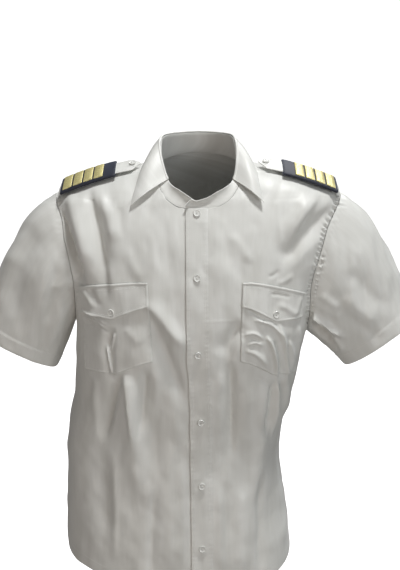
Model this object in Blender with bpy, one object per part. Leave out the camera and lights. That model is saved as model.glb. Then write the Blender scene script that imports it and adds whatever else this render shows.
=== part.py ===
"""White short-sleeved uniform shirt with shoulder boards, in its worn form and with no wearer.

Metres, +Z up, the front faces -Y and +X is the wearer's left. The origin is midway between
the two points where the shoulder seams meet the neck. Each piece of cloth is a thin wall
that follows one shape of the body, which horizontal sections describe.
"""
import math

import bmesh
import bpy
import numpy as np

# Cloth and gaps
CLOTH = 0.0012
SEAM_GAP = 0.0003
LAYER = CLOTH + SEAM_GAP
STAND_WALL = 0.0018
LEAF_WALL = 0.0016
SLEEVE_GAP = 0.0006
STAND_GAP = 0.0006

# The body's sections: height, middle, half width, half depth in front and behind, squareness
SECTIONS = np.array((
    (0.000, 0.000, 0.0700, 0.046, 0.060, 2.10),
    (-0.004, 0.002, 0.0930, 0.0475, 0.062, 2.10),
    (-0.0105, 0.004, 0.1350, 0.0500, 0.066, 2.20),
    (-0.0165, 0.004, 0.1590, 0.0530, 0.071, 2.35),
    (-0.0275, 0.004, 0.1900, 0.0600, 0.079, 2.55),
    (-0.041, 0.002, 0.2220, 0.0690, 0.087, 2.75),
    (-0.050, -0.001, 0.2335, 0.0755, 0.092, 2.85),
    (-0.066, -0.003, 0.2350, 0.083, 0.099, 2.75),
    (-0.085, -0.005, 0.2345, 0.092, 0.105, 2.60),
    (-0.110, -0.008, 0.2340, 0.102, 0.111, 2.50),
    (-0.150, -0.009, 0.2240, 0.114, 0.117, 2.42),
    (-0.190, -0.010, 0.2090, 0.123, 0.119, 2.40),
    (-0.230, -0.0095, 0.1995, 0.128, 0.117, 2.45),
    (-0.265, -0.0115, 0.1930, 0.130, 0.113, 2.60),
    (-0.300, -0.0165, 0.1890, 0.129, 0.109, 2.75),
    (-0.340, -0.0205, 0.1865, 0.127, 0.105, 2.75),
    (-0.385, -0.0275, 0.1840, 0.124, 0.103, 2.60),
    (-0.433, -0.0385, 0.1822, 0.121, 0.103, 2.45),
    (-0.490, -0.044, 0.1820, 0.119, 0.106, 2.35),
    (-0.560, -0.0415, 0.1860, 0.121, 0.112, 2.30),
    (-0.640, -0.036, 0.1920, 0.125, 0.118, 2.30),
    (-0.730, -0.031, 0.1955, 0.127, 0.121, 2.30),
))
NAPE_RISE = 0.012
NAPE_REACH = 0.090

# Neck, shoulders and armholes; the wearer's left is side +1, the right is side -1
NECK_HALF_WIDTH = 0.070
NECK_FRONT = -0.063
SHOULDER_TIP = -0.046
YOKE_SEAM = -0.100
ARMPIT = {1: -0.2785, -1: -0.258}
ARMHOLE_FRONT = 0.062
ARMHOLE_BACK = 0.055

# Front edge: the placket's middle line, by height
PLACKET_HALF = 0.0175
PLACKET_LINE = np.array((
    (-0.063, -0.0035),
    (-0.170, -0.0030),
    (-0.287, -0.0015),
    (-0.396, 0.0030),
    (-0.730, 0.0060),
))

# Pockets: inner edge from the placket's middle line, at the top and the bottom of each
POCKET_WIDTH = {1: 0.113, -1: 0.125}
POCKET_INNER = {1: (0.0720, 0.0665), -1: (0.0785, 0.0725)}
POCKET_TOP = -0.176
POCKET_BOTTOM = -0.303
POCKET_DROOP = {1: (0.024, 0.034), -1: (0.014, 0.024)}

# Heights of the rows of points on the body, from the neck points to the hem
LEVELS = np.array((
    0.000, -0.002, -0.005, -0.010, -0.018, -0.028, -0.037, SHOULDER_TIP, -0.053, -0.0605,
    NECK_FRONT, -0.080, YOKE_SEAM, -0.124, -0.150, POCKET_TOP, -0.195, -0.214, -0.234, -0.251,
    -0.262, -0.283, POCKET_BOTTOM, -0.330, -0.360, -0.400, -0.450, -0.510, -0.580, -0.650,
    -0.700,
))
ROW_TIP = 7
ROW_NECK = 10
ROW_YOKE = 12
ROW_POCKET = 15
ROW_FLAP_END = 17
ROW_ARMPIT = 20
ROW_POCKET_END = 22
ROW_HEM = 30
BACK_TAIL = 0.020
TAIL_START = -0.450
TAIL_FULL = -0.580
HEM = LEVELS[-1]

# How far the rows dip at a pocket's middle line, which gives flap and pocket their points
POCKET_DIPS = np.array((
    (POCKET_TOP, 0.000),
    (-0.195, 0.009),
    (-0.214, 0.018),
    (-0.262, 0.018),
    (POCKET_BOTTOM, 0.016),
    (-0.360, 0.008),
    (-0.450, 0.000),
))

# Height of each row where it meets the armhole or the side seam, on the left and the right
EDGE_HEIGHTS = np.array((
    (0.000, 0.000, 0.000),
    (SHOULDER_TIP, SHOULDER_TIP, SHOULDER_TIP),
    (-0.124, -0.126, -0.124),
    (POCKET_TOP, -0.188, -0.182),
    (-0.214, -0.230, -0.218),
    (-0.262, ARMPIT[1], ARMPIT[-1]),
    (POCKET_BOTTOM, -0.316, -0.304),
    (-0.360, -0.366, -0.361),
    (-0.450, -0.450, -0.450),
    (-0.580, -0.557, -0.557),
    (-0.650, -0.610, -0.610),
    (-0.700, -0.655, -0.655),
))

# Columns of a front: placket, plain cloth, pocket, plain cloth up to the edge
COLUMN_PLACKET_END = 2
COLUMN_POCKET = 5
COLUMN_POCKET_MIDDLE = 9
COLUMN_POCKET_END = 13
COLUMN_EDGE = 16
INNER_STEPS = (0.031, 0.050)
FREE_LEVELS = (-0.080, -0.160)
BACK_COLUMNS = 20

# The largest folds: face, then two ends (x, z), width and height; a trough has a height below 0
FOLDS = (
    ("front", -0.205, -0.060, -0.168, -0.160, 0.014, 0.0050),
    ("front", -0.200, -0.092, -0.160, -0.176, 0.013, -0.0055),
    ("front", -0.168, -0.048, -0.142, -0.164, 0.012, -0.0045),
    ("front", -0.144, -0.050, -0.132, -0.118, 0.012, 0.0030),
    ("front", -0.086, -0.198, -0.014, -0.290, 0.013, 0.0040),
    ("front", -0.082, -0.240, -0.022, -0.372, 0.016, -0.0050),
    ("front", -0.120, -0.310, -0.098, -0.560, 0.015, 0.0065),
    ("front", -0.084, -0.300, -0.066, -0.520, 0.015, -0.0060),
    ("front", -0.160, -0.330, -0.156, -0.640, 0.018, -0.0050),
    ("front", 0.196, -0.072, 0.120, -0.136, 0.014, -0.0050),
    ("front", 0.186, -0.046, 0.128, -0.104, 0.013, 0.0035),
    ("front", 0.112, -0.129, 0.166, -0.138, 0.010, -0.0020),
    ("front", 0.072, -0.236, 0.026, -0.292, 0.013, -0.0045),
    ("front", 0.052, -0.290, 0.046, -0.520, 0.015, -0.0060),
    ("front", 0.110, -0.330, 0.090, -0.560, 0.014, 0.0060),
    ("front", 0.132, -0.390, 0.126, -0.660, 0.016, -0.0050),
    ("front", -0.050, -0.420, -0.046, -0.690, 0.018, 0.0050),
    ("front", 0.070, -0.500, 0.066, -0.700, 0.016, 0.0045),
    ("back", 0.150, -0.120, 0.060, -0.235, 0.018, 0.0050),
    ("back", -0.155, -0.115, -0.070, -0.225, 0.018, 0.0050),
    ("back", 0.105, -0.100, 0.090, -0.330, 0.014, -0.0055),
    ("back", -0.110, -0.100, -0.098, -0.330, 0.014, -0.0055),
    ("back", 0.150, -0.300, 0.020, -0.390, 0.016, 0.0050),
    ("back", -0.170, -0.290, -0.050, -0.400, 0.016, 0.0055),
    ("back", 0.070, -0.400, 0.080, -0.690, 0.018, -0.0060),
    ("back", 0.010, -0.380, 0.015, -0.710, 0.020, 0.0060),
    ("back", -0.060, -0.400, -0.062, -0.700, 0.018, -0.0060),
    ("back", -0.125, -0.420, -0.130, -0.680, 0.018, 0.0055),
)

# Sleeves: inner corner of the hem (x, z), the way the sleeve leaves it, and the way along it
SLEEVES = {
    1: {"corner": (0.2455, -0.3395), "axis": (0.643, -0.766), "hem": (0.800, 0.600), "width": 0.160},
    -1: {"corner": (-0.2405, -0.3425), "axis": (-0.454, -0.891), "hem": (-0.891, 0.454), "width": 0.150},
}
SLEEVE_DEPTH = 0.104
SLEEVE_STEPS = 7
CAP_SLOPE = 25.0

# Collar: the stand's top edge by angle from the front, how far it leans out on the
# wearer's left, and the leaf's outer edge
STAND_MIDDLE = -0.012
STAND_RADII = (0.063, 0.065)
STAND_TOP = np.array((
    (0.0, -0.0525),
    (13.0, -0.0445),
    (26.0, -0.0360),
    (38.0, -0.0290),
    (50.0, -0.0210),
    (69.0, 0.0085),
    (92.0, 0.035),
    (120.0, 0.044),
    (180.0, 0.046),
))
STAND_LEAN = np.array((
    (0.0, 0.0000),
    (25.0, 0.0010),
    (50.0, 0.0050),
    (72.0, 0.0000),
    (95.0, -0.0045),
    (130.0, -0.0030),
    (180.0, 0.0000),
))
UNDER_DROP = 0.0024
UNDER_RISE = 0.003
STAND_END = ((0.55, 0.80), (1.0, 0.22))
LEAF_START = 50.0
LEAF_EDGE = np.array((
    (50.0, 0.1030, -0.085, -0.0525),
    (65.0, 0.0975, -0.064, -0.0290),
    (80.0, 0.0930, -0.042, -0.0075),
    (95.0, 0.0890, -0.014, 0.0010),
    (110.0, 0.0865, 0.012, 0.0015),
    (130.0, 0.0740, 0.043, 0.0050),
    (155.0, 0.0400, 0.066, 0.0040),
    (180.0, 0.0000, 0.074, 0.0010),
))
LEAF_POINT_RIGHT = (0.0065, 0.000, -0.006)
LEAF_POINT_TURN = (110.0, 50.0)
LEAF_FOLD = 0.002
LEAF_BULGE = 0.003

# Shoulder straps, the boards slid on them and the boards' bars
STRAP_WIDTH = 0.040
STRAP_WALL = 0.0016
STRAP_REACH = (0.095, 0.2290)
STRAP_LIFT = {1: 0.0040, -1: 0.0012}
STRAP_SEAM_DROP = {1: 0.0057, -1: 0.0066}
STRAP_POINT = 0.014
STRAP_MIDDLE = -0.017
STRAP_TILT = math.radians(18.0)
STRAP_CROWN = 0.002
STRAP_BUTTON = 0.108
BOARD_REACH = (0.135, 0.2235)
BOARD_HALF = 0.028
BOARD_HEIGHT = 0.005
BOARD_WALL = 0.0013
BOARD_DROP = 0.0017
BOARD_CLEARANCE = 0.0005
BAR_WIDTH = 0.0142
BAR_PITCH = 0.0167
BAR_MARGIN = 0.0045
BAR_HALF = 0.0232
BAR_WALL = 0.0009
BARS = 4

# Buttons
BUTTON_RADIUS = 0.00575
BUTTON_THICK = 0.0022
BUTTON_RIM = 0.0012
BUTTON_WELL = 0.0006
BUTTON_SIDES = 12
BUTTON_GAP = 0.0007
BUTTON_LEVELS = (-0.0708, -0.1685, -0.2907, -0.4043, -0.515, -0.622)
FLAP_BUTTON = {1: -0.229, -1: -0.226}

SIDES = {"left": 1, "right": -1}
ANGLES = np.radians(np.linspace(-90.0, 270.0, 721))
FRONT_ANGLE = 180


def smooth_table(table, column, x):
    """A monotone curve through one column of a table whose first column is the place."""
    order = np.argsort(table[:, 0])
    xs = table[order, 0]
    ys = table[order, column]
    steps = np.diff(xs)
    slopes = np.diff(ys) / steps
    before, after = slopes[:-1], slopes[1:]
    tangents = np.concatenate(([slopes[0]], np.zeros(len(before)), [slopes[-1]]))
    even = before * after > 0
    tangents[1:-1][even] = 2 * before[even] * after[even] / (before[even] + after[even])
    i = np.clip(np.searchsorted(xs, x) - 1, 0, len(steps) - 1)
    t = (x - xs[i]) / steps[i]
    rise = (3 - 2 * t) * t * t
    start = t * (1 - t) ** 2
    end = t * t * (t - 1)
    return ys[i] + (ys[i + 1] - ys[i]) * rise + steps[i] * (start * tangents[i] + end * tangents[i + 1])


def smoothstep(start, end, x):
    t = np.clip((x - start) / (end - start), 0, 1)
    return t * t * (3 - 2 * t)


def section(z):
    """Middle, half width, half depth in front and behind, and squareness at a height."""
    return [smooth_table(SECTIONS, column, z) for column in range(1, 6)]


def body(angle, z):
    """Point of the shirt's outer face; angle 0 is the front, 90 degrees the wearer's left."""
    middle, width, front, back, square = section(z)
    sine, cosine = np.sin(angle), np.cos(angle)
    x = middle + width * np.sign(sine) * np.abs(sine) ** (2 / square)
    depth = np.where(cosine > 0, front, back)
    y = -depth * np.sign(cosine) * np.abs(cosine) ** (2 / square)
    near_neck = np.clip(1 + z / NAPE_REACH, 0, 1) ** 2
    rise = NAPE_RISE * near_neck * np.where(cosine < 0, (y / back) ** 2, 0)
    return np.stack(np.broadcast_arrays(x, y, z + rise), axis=-1)


def body_normal(angle, z):
    turn, step = 0.01, 0.0005
    across = body(angle + turn, z) - body(angle - turn, z)
    up = body(angle, z + step) - body(angle, z - step)
    normal = np.cross(across, up)
    return normal / np.linalg.norm(normal, axis=-1, keepdims=True)


def arc_lengths(z):
    """Length round the section at a height, from the front, at each of ANGLES."""
    steps = np.linalg.norm(np.diff(body(ANGLES, z), axis=0), axis=1)
    arcs = np.concatenate(([0.0], np.cumsum(steps)))
    return arcs - arcs[FRONT_ANGLE]


def arc_at(z, angle):
    return np.interp(angle, ANGLES, arc_lengths(z))


def angle_at_x(z, x):
    """Angle of the point of the front with this x."""
    middle, width, _, _, square = section(z)
    share = np.clip(abs(x - middle) / width, 0, 1)
    return math.copysign(math.asin(share ** (square / 2)), x - middle)


def armhole_reach(side, face, z):
    """How far in front of or behind the shoulder line the armhole or seam is at a height."""
    middle = (SHOULDER_TIP + ARMPIT[side]) / 2
    half = (SHOULDER_TIP - ARMPIT[side]) / 2
    share = min(abs(z - middle) / half, 1.0)
    reach = ARMHOLE_FRONT if face == "front" else ARMHOLE_BACK
    return max(reach * math.sqrt(1 - share * share), SEAM_GAP / 2)


def edge_angle(side, face, z):
    """Angle where a front or the back ends: at the armhole, shoulder seam or side seam."""
    _, _, front, back, square = section(z)
    depth = front if face == "front" else back
    lean = math.asin((armhole_reach(side, face, z) / depth) ** (square / 2))
    angle = side * (math.pi / 2 - lean)
    return angle if face == "front" else math.pi - angle


def edge_height(side, level):
    column = 1 if side > 0 else 2
    return np.interp(level, EDGE_HEIGHTS[::-1, 0], EDGE_HEIGHTS[::-1, column])


def front_height(side, column, level):
    """Height of a point of a front's row, which dips at the pocket and rises at the sides."""
    off_middle = abs(column - COLUMN_POCKET_MIDDLE)
    pocket_half = COLUMN_POCKET_END - COLUMN_POCKET_MIDDLE
    dip = np.interp(level, POCKET_DIPS[::-1, 0], POCKET_DIPS[::-1, 1]) * max(1 - off_middle / pocket_half, 0)
    droops = (0, POCKET_DROOP[side][1], POCKET_DROOP[side][0], 0)
    droop = np.interp(level, (TAIL_START, POCKET_BOTTOM, POCKET_TOP, YOKE_SEAM), droops)
    outward = np.clip((column - COLUMN_POCKET - 1) / (2 * pocket_half - 1), 0, 1) ** 1.3
    inner = level - dip - droop * outward
    last = np.clip((column - COLUMN_POCKET_END) / (COLUMN_EDGE - COLUMN_POCKET_END), 0, 1)
    tail = np.clip((column - 1) / (COLUMN_EDGE - 1), 0, 1) ** 2.2
    share = last + (tail - last) * smoothstep(TAIL_START, TAIL_FULL, level)
    return inner + (edge_height(side, level) - inner) * share


def pocket_inner(side, z):
    top, bottom = POCKET_INNER[side]
    return np.interp(z, (POCKET_BOTTOM, POCKET_TOP), (bottom, top))


def free_reach(side, column, z, edge):
    """Distance from the placket's middle line where the columns keep their true sizes."""
    start = pocket_inner(side, z)
    places = (-PLACKET_HALF, PLACKET_HALF, *INNER_STEPS, start, start + POCKET_WIDTH[side], edge)
    columns = (0, COLUMN_PLACKET_END, 3, 4, COLUMN_POCKET, COLUMN_POCKET_END, COLUMN_EDGE)
    return np.interp(column, columns, places)


def front_angle(side, column, z):
    """Angle of a front's column at a height: even shares near the neck, true sizes below."""
    line_x = smooth_table(PLACKET_LINE, 1, min(z, NECK_FRONT))
    arcs = arc_lengths(z)
    line = np.interp(angle_at_x(z, line_x), ANGLES, arcs)
    edge = side * (np.interp(edge_angle(side, "front", z), ANGLES, arcs) - line)
    if column <= COLUMN_PLACKET_END and z <= NECK_FRONT:
        reach = (column - 1) * PLACKET_HALF
    else:
        neck = PLACKET_HALF
        if z > NECK_FRONT:
            start_x = line_x + side * PLACKET_HALF
            neck_x = start_x + (side * NECK_HALF_WIDTH - start_x) * math.sqrt(1 - (z / NECK_FRONT) ** 2)
            neck = min(side * (np.interp(angle_at_x(z, neck_x), ANGLES, arcs) - line), edge)
        share = COLUMN_SHARES[side](column)
        even = neck + share * (edge - neck)
        free = free_reach(side, column, z, edge)
        reach = even + (free - even) * smoothstep(*FREE_LEVELS, z)
    return np.interp(line + side * reach, arcs, ANGLES)


def column_shares(side):
    """Share of a front's width at each column, taken where the true sizes start."""
    z = FREE_LEVELS[1]
    line = arc_at(z, angle_at_x(z, smooth_table(PLACKET_LINE, 1, z)))
    edge = side * (arc_at(z, edge_angle(side, "front", z)) - line)
    return lambda column: (free_reach(side, column, z, edge) - PLACKET_HALF) / (edge - PLACKET_HALF)


COLUMN_SHARES = {side: column_shares(side) for side in SIDES.values()}


def relief(face, x, z):
    """Height of the folds at a place of the front or the back."""
    height = np.zeros_like(x)
    for where, x0, z0, x1, z1, width, size in FOLDS:
        if where != face:
            continue
        length = math.hypot(x1 - x0, z1 - z0)
        along = ((x - x0) * (x1 - x0) + (z - z0) * (z1 - z0)) / length ** 2
        off = ((x - x0) * (z1 - z0) - (z - z0) * (x1 - x0)) / length
        ends = smoothstep(0, 0.3, along) * smoothstep(1, 0.7, along)
        height = height + size * np.exp(-(off / width) ** 2) * ends
    return height


class Sheet:
    """A grid of points on the shirt: rows run down, columns run across, with normals."""

    def __init__(self, points, normals):
        self.points = points
        self.normals = normals

    def part(self, rows, columns, layer=0.0):
        """The points of some rows and columns, moved out by a layer."""
        window = np.ix_(range(rows[0], rows[1] + 1), range(columns[0], columns[1] + 1))
        return Sheet(self.points[window] + layer * self.normals[window], self.normals[window])


def front_sheet(side):
    """All the points of one front, on the outer face of its cloth."""
    angles = np.empty((ROW_HEM + 1, COLUMN_EDGE + 1))
    heights = np.empty_like(angles)
    for row, level in enumerate(LEVELS):
        for column in range(COLUMN_EDGE + 1):
            heights[row, column] = front_height(side, column, level)
            angles[row, column] = front_angle(side, column, heights[row, column])
    points = body(angles, heights)
    normals = body_normal(angles, heights)
    fade = smoothstep(COLUMN_EDGE, COLUMN_EDGE - 2.5, np.arange(COLUMN_EDGE + 1))
    fade = fade * smoothstep(-0.035, -0.075, heights)
    height = relief("front", points[..., 0], heights) * fade
    return Sheet(points + height[..., None] * normals, normals)


def back_height(share, level):
    """Height of a point of the back's row; share 0 is the wearer's left edge, 1 the right."""
    middle = level - BACK_TAIL * smoothstep(TAIL_START, HEM, level)
    edges = {1: share, -1: 1 - share}
    low = smoothstep(TAIL_START, TAIL_FULL, level)
    height = middle
    for side, off_edge in edges.items():
        near = max(1 - off_edge / 0.25, 0)
        tail = max(1 - 2 * off_edge, 0) ** 2.2
        weight = near + (tail - near) * low
        height = height + (edge_height(side, level) - middle) * weight
    return height


def back_sheet():
    """All the points of the yoke and the back, from the neck to the hem."""
    angles = np.empty((ROW_HEM + 1, BACK_COLUMNS + 1))
    heights = np.empty_like(angles)
    for row, level in enumerate(LEVELS):
        for column in range(BACK_COLUMNS + 1):
            share = column / BACK_COLUMNS
            z = back_height(share, level)
            arcs = arc_lengths(z)
            ends = [np.interp(edge_angle(side, "back", z), ANGLES, arcs) for side in (1, -1)]
            heights[row, column] = z
            angles[row, column] = np.interp(ends[0] + share * (ends[1] - ends[0]), arcs, ANGLES)
    points = body(angles, heights)
    normals = body_normal(angles, heights)
    shares = np.linspace(0, 1, BACK_COLUMNS + 1)
    fade = smoothstep(0, 0.12, shares) * smoothstep(1, 0.88, shares)
    fade = fade * smoothstep(-0.100, -0.150, heights)
    height = relief("back", points[..., 0], heights) * fade
    return Sheet(points + height[..., None] * normals, normals)


def grid_numbers(rows, columns, closed=False):
    numbers = np.arange(rows * columns).reshape(rows, columns)
    return np.hstack((numbers, numbers[:, :1])) if closed else numbers


def grid_triangles(numbers, turned=0):
    """Two triangles for each cell; a cell with a missing corner, numbered -1, is left out.

    The first columns may be turned, so that their cells fold along the other diagonal.
    """
    triangles = []
    for upper, lower in zip(numbers[:-1], numbers[1:]):
        for column, (a, b, c, d) in enumerate(zip(upper[:-1], upper[1:], lower[1:], lower[:-1])):
            cell = ((a, b, d), (b, c, d)) if column < turned else ((a, b, c), (a, c, d))
            for corners in cell:
                if -1 not in (a, b, c, d) and len(set(corners)) == 3:
                    triangles.append(corners)
    return triangles


def grid_normals(points, closed=False):
    """Normals of a grid from the steps along its rows and its columns."""
    if closed:
        across = np.roll(points, -1, axis=1) - np.roll(points, 1, axis=1)
    else:
        across = np.gradient(points, axis=1)
    normals = np.cross(across, np.gradient(points, axis=0))
    return normals / np.linalg.norm(normals, axis=-1, keepdims=True)


def new_object(name, points, faces, material):
    """An object with its origin at its own middle, in the shirt's empty."""
    middle = (points.min(axis=0) + points.max(axis=0)) / 2
    mesh = bpy.data.meshes.new(name)
    mesh.from_pydata((points - middle).tolist(), [], faces)
    mesh.shade_smooth()
    mesh.set_sharp_from_angle(angle=math.radians(40))
    mesh.materials.append(material)
    shape = bpy.data.objects.new(name, mesh)
    shape.location = middle
    shape.parent = bpy.data.objects["shirt"]
    bpy.context.collection.objects.link(shape)
    return shape


def wall(name, points, normals, triangles, thickness, material):
    """A closed wall: the outer face, the same points moved in, and a rim round every edge."""
    points = points.reshape(-1, 3)
    normals = normals.reshape(-1, 3)
    used = sorted({int(number) for corners in triangles for number in corners})
    place = {number: i for i, number in enumerate(used)}
    outer = points[used]
    inner = outer - thickness * normals[used]
    faces = [tuple(place[int(number)] for number in corners) for corners in triangles]
    a, b, c = (outer[faces[len(faces) // 2][i]] for i in range(3))
    if np.dot(np.cross(b - a, c - a), normals[used[faces[len(faces) // 2][0]]]) < 0:
        faces = [(a, c, b) for a, b, c in faces]
    count = len(used)
    edges = {(f[i], f[(i + 1) % 3]) for f in faces for i in range(3)}
    rims = [(b, a, a + count, b + count) for a, b in sorted(edges) if (b, a) not in edges]
    inside = [(a + count, c + count, b + count) for a, b, c in faces]
    return new_object(name, np.vstack((outer, inner)), faces + inside + rims, material)


def sheet_wall(name, sheet, material):
    triangles = grid_triangles(grid_numbers(*sheet.points.shape[:2]))
    return wall(name, sheet.points, sheet.normals, triangles, CLOTH, material)


def make_front(name, side, sheet, material):
    """A front: its rows meet in one point at the neck, and the placket's columns end below it."""
    numbers = grid_numbers(ROW_HEM + 1, COLUMN_EDGE + 1)
    numbers[:ROW_NECK, :COLUMN_PLACKET_END] = -1
    numbers[0, COLUMN_PLACKET_END:] = numbers[0, COLUMN_EDGE]
    steps = np.clip((COLUMN_POCKET - np.arange(COLUMN_EDGE + 1)) / (COLUMN_POCKET - COLUMN_PLACKET_END), 0, 1)
    drop = -(LAYER + 0.0001) * steps if side < 0 else np.zeros(COLUMN_EDGE + 1)
    below = smoothstep(NECK_FRONT + 0.02, NECK_FRONT, LEVELS)
    points = sheet.points + (below[:, None] * drop[None, :])[..., None] * sheet.normals
    triangles = grid_triangles(numbers, turned=COLUMN_PLACKET_END if side < 0 else 0)
    return wall(name, points, sheet.normals, triangles, CLOTH, material)


def make_yoke_and_back(sheet, material):
    yoke = sheet.part((0, ROW_YOKE), (0, BACK_COLUMNS))
    back = sheet.part((ROW_YOKE, ROW_HEM), (0, BACK_COLUMNS))
    down = yoke.points[-1] - yoke.points[-2]
    down = down / np.linalg.norm(down, axis=-1, keepdims=True)
    yoke.points[-1] -= SEAM_GAP / 2 * down
    back.points[0] += SEAM_GAP / 2 * down
    sheet_wall("yoke", yoke, material)
    sheet_wall("back", back, material)


def bezier(points, t):
    a, b, c, d = points
    return a * (1 - t) ** 3 + 3 * b * t * (1 - t) ** 2 + 3 * c * t * t * (1 - t) + d * t ** 3


def make_sleeve(name, side, front, back, material):
    """A sleeve: one curve from each point of the armhole down to the oval of its hem."""
    edge = 0 if side > 0 else BACK_COLUMNS
    rows = range(ROW_TIP + 1, ROW_ARMPIT)
    tip = (front.points[ROW_TIP, -1] + back.points[ROW_TIP, edge]) / 2
    armpit = (front.points[ROW_ARMPIT, -1] + back.points[ROW_ARMPIT, edge]) / 2
    loop = [tip, *(front.points[row, -1] for row in rows), armpit]
    loop += [back.points[row, edge] for row in reversed(rows)]
    shape = SLEEVES[side]
    along = np.array((shape["axis"][0], 0, shape["axis"][1]))
    outward = np.array((shape["hem"][0], 0, shape["hem"][1])) * shape["width"] / 2
    corner = np.array((shape["corner"][0], 0, shape["corner"][1]))
    cap = np.array((side * math.cos(math.radians(CAP_SLOPE)), 0, -math.sin(math.radians(CAP_SLOPE))))
    middle = (SHOULDER_TIP + ARMPIT[side]) / 2
    half = (SHOULDER_TIP - ARMPIT[side]) / 2
    rings = []
    for number, start in enumerate(loop):
        turn = math.acos(np.clip((start[2] - middle) / half, -1, 1))
        facing = -1 if number <= len(rows) + 1 else 1
        end = corner + outward * (1 + math.cos(turn))
        end[1] = facing * SLEEVE_DEPTH / 2 * math.sin(turn)
        length = np.linalg.norm(end - start)
        straight = (end - start) / length
        leave = straight + (cap - straight) * (1 + math.cos(turn)) / 2
        leave[1] += facing * 0.25 * math.sin(turn)
        leave /= np.linalg.norm(leave)
        curve = (start, start + leave * length / 3, end - along * length / 3, end)
        first = SLEEVE_GAP / length
        rings.append([bezier(curve, first + (1 - first) * k / SLEEVE_STEPS) for k in range(SLEEVE_STEPS + 1)])
    points = np.array(rings).transpose(1, 0, 2)
    normals = grid_normals(points, closed=True)
    outward_side = np.sum(normals * (points - points.mean(axis=1, keepdims=True)))
    normals *= math.copysign(1, outward_side)
    numbers = grid_numbers(*points.shape[:2], closed=True)
    wall(name, points, normals, grid_triangles(numbers), CLOTH, material)


def stand_top(angle):
    """Point of the stand's top edge; angles run from the front to the wearer's left."""
    turn = abs(angle)
    z = smooth_table(STAND_TOP, 1, math.degrees(turn))
    x = STAND_RADII[0] * math.sin(angle)
    y = STAND_MIDDLE - STAND_RADII[1] * math.cos(turn)
    if angle > 0:
        x += smooth_table(STAND_LEAN, 1, math.degrees(turn))
    return np.array((x, y, z))


def make_stand(left, right, back, material):
    """The stand: one band round the neck, whose ends lie on each other in front.

    It gives back the angles of its columns that the leaf covers, from the left round the back.
    """
    edge = COLUMN_PLACKET_END
    line = left.points[ROW_NECK, 1]
    turned = left.points[ROW_NECK, 0]
    ends = [line + share * (turned - line) for share, _ in STAND_END]
    under = [left.points[ROW_NECK - 1, edge], left.points[ROW_NECK, edge], line, turned]
    right_neck = [right.points[row, edge] for row in range(ROW_NECK - 1, 0, -1)]
    left_neck = [left.points[row, edge] for row in range(1, ROW_NECK + 1)]
    feet = under + right_neck + list(back.points[0, ::-1]) + left_neck + [line] + ends
    drops = [1, 1, 1, 1, 0.6, 0.25] + [0] * (len(feet) - 6)
    rises = [0.7, 1, 1, 0.5] + [0] * (len(feet) - 4)
    heights = [1] * (len(feet) - len(ends)) + [height for _, height in STAND_END]
    columns, turns = [], []
    for foot, drop, rise, height in zip(feet, drops, rises, heights):
        angle = math.atan2(foot[0], STAND_MIDDLE - foot[1])
        turns.append(math.degrees(angle) % 360)
        top = stand_top(angle)
        inward = -np.array((math.sin(angle), -math.cos(angle), 0)) * UNDER_DROP * drop
        top = top + np.array((0, 0, UNDER_RISE * rise))
        up = (top - foot) / np.linalg.norm(top - foot)
        start = foot + inward + STAND_GAP * up
        end = foot + inward + (top - foot) * height
        columns.append([start, (start + end) / 2, end])
    points = np.array(columns).transpose(1, 0, 2)
    normals = grid_normals(points)
    centre = np.array((0, STAND_MIDDLE, 0))
    flat = (points - centre) * (1, 1, 0)
    normals *= math.copysign(1, np.sum(normals * flat))
    wall("collar_stand", points, normals, grid_triangles(grid_numbers(*points.shape[:2])), STAND_WALL, material)
    return sorted(turn for turn in turns if LEAF_START + 2 < turn < 358 - LEAF_START)


def make_leaf(turns, material):
    """The leaf: it folds over the stand's top edge and falls to its outer edge."""
    columns, facings = [], []
    for degrees in (LEAF_START, *turns, 360 - LEAF_START):
        turn = min(degrees, 360 - degrees)
        side = 1 if degrees <= 180 else -1
        angle = math.radians(turn)
        outward = np.array((side * math.sin(angle), -math.cos(angle), 0))
        edge = np.array([smooth_table(LEAF_EDGE, column, turn) for column in (1, 2, 3)])
        if side < 0:
            edge = edge + np.array(LEAF_POINT_RIGHT) * smoothstep(*LEAF_POINT_TURN, turn)
        edge[0] *= side
        fold = stand_top(side * angle) + outward * 0.0013 + np.array((0, 0, 0.0010))
        up = np.array((0, 0, 1))
        facing = [math.cos(a) * outward + math.sin(a) * up for a in (math.pi, math.pi / 2, 0)]
        facings.append(facing[:2])
        bend = [fold + LEAF_FOLD * normal for normal in facing]
        fall = edge - bend[-1]
        level = fall * (1, 1, 0)
        bulge = np.cross(fall, np.cross(level, up))
        bulge = -bulge / np.linalg.norm(bulge)
        bulge *= math.copysign(1, bulge[2])
        steps = (0.2, 0.42, 0.7, 1.0)
        outer = [bend[-1] + t * fall + 4 * t * (1 - t) * LEAF_BULGE * bulge for t in steps]
        columns.append(bend + outer)
    points = np.array(columns).transpose(1, 0, 2)
    normals = grid_normals(points)
    normals *= math.copysign(1, np.sum(normals[1:] * (0, 0, 1)))
    normals[:2] = np.array(facings).transpose(1, 0, 2)
    wall("collar_leaf", points, normals, grid_triangles(grid_numbers(*points.shape[:2])), LEAF_WALL, material)


def shoulder_height(x, y):
    """Height of the shirt's outer face at a place on the shoulder."""
    low, high = -0.150, 0.0
    for _ in range(40):
        z = (low + high) / 2
        middle, width, front, back, square = section(z)
        depth = front if y < 0 else back
        inside = (abs(x - middle) / width) ** square + (abs(y) / depth) ** square < 1
        low, high = (z, high) if inside else (low, z)
    return low


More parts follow.
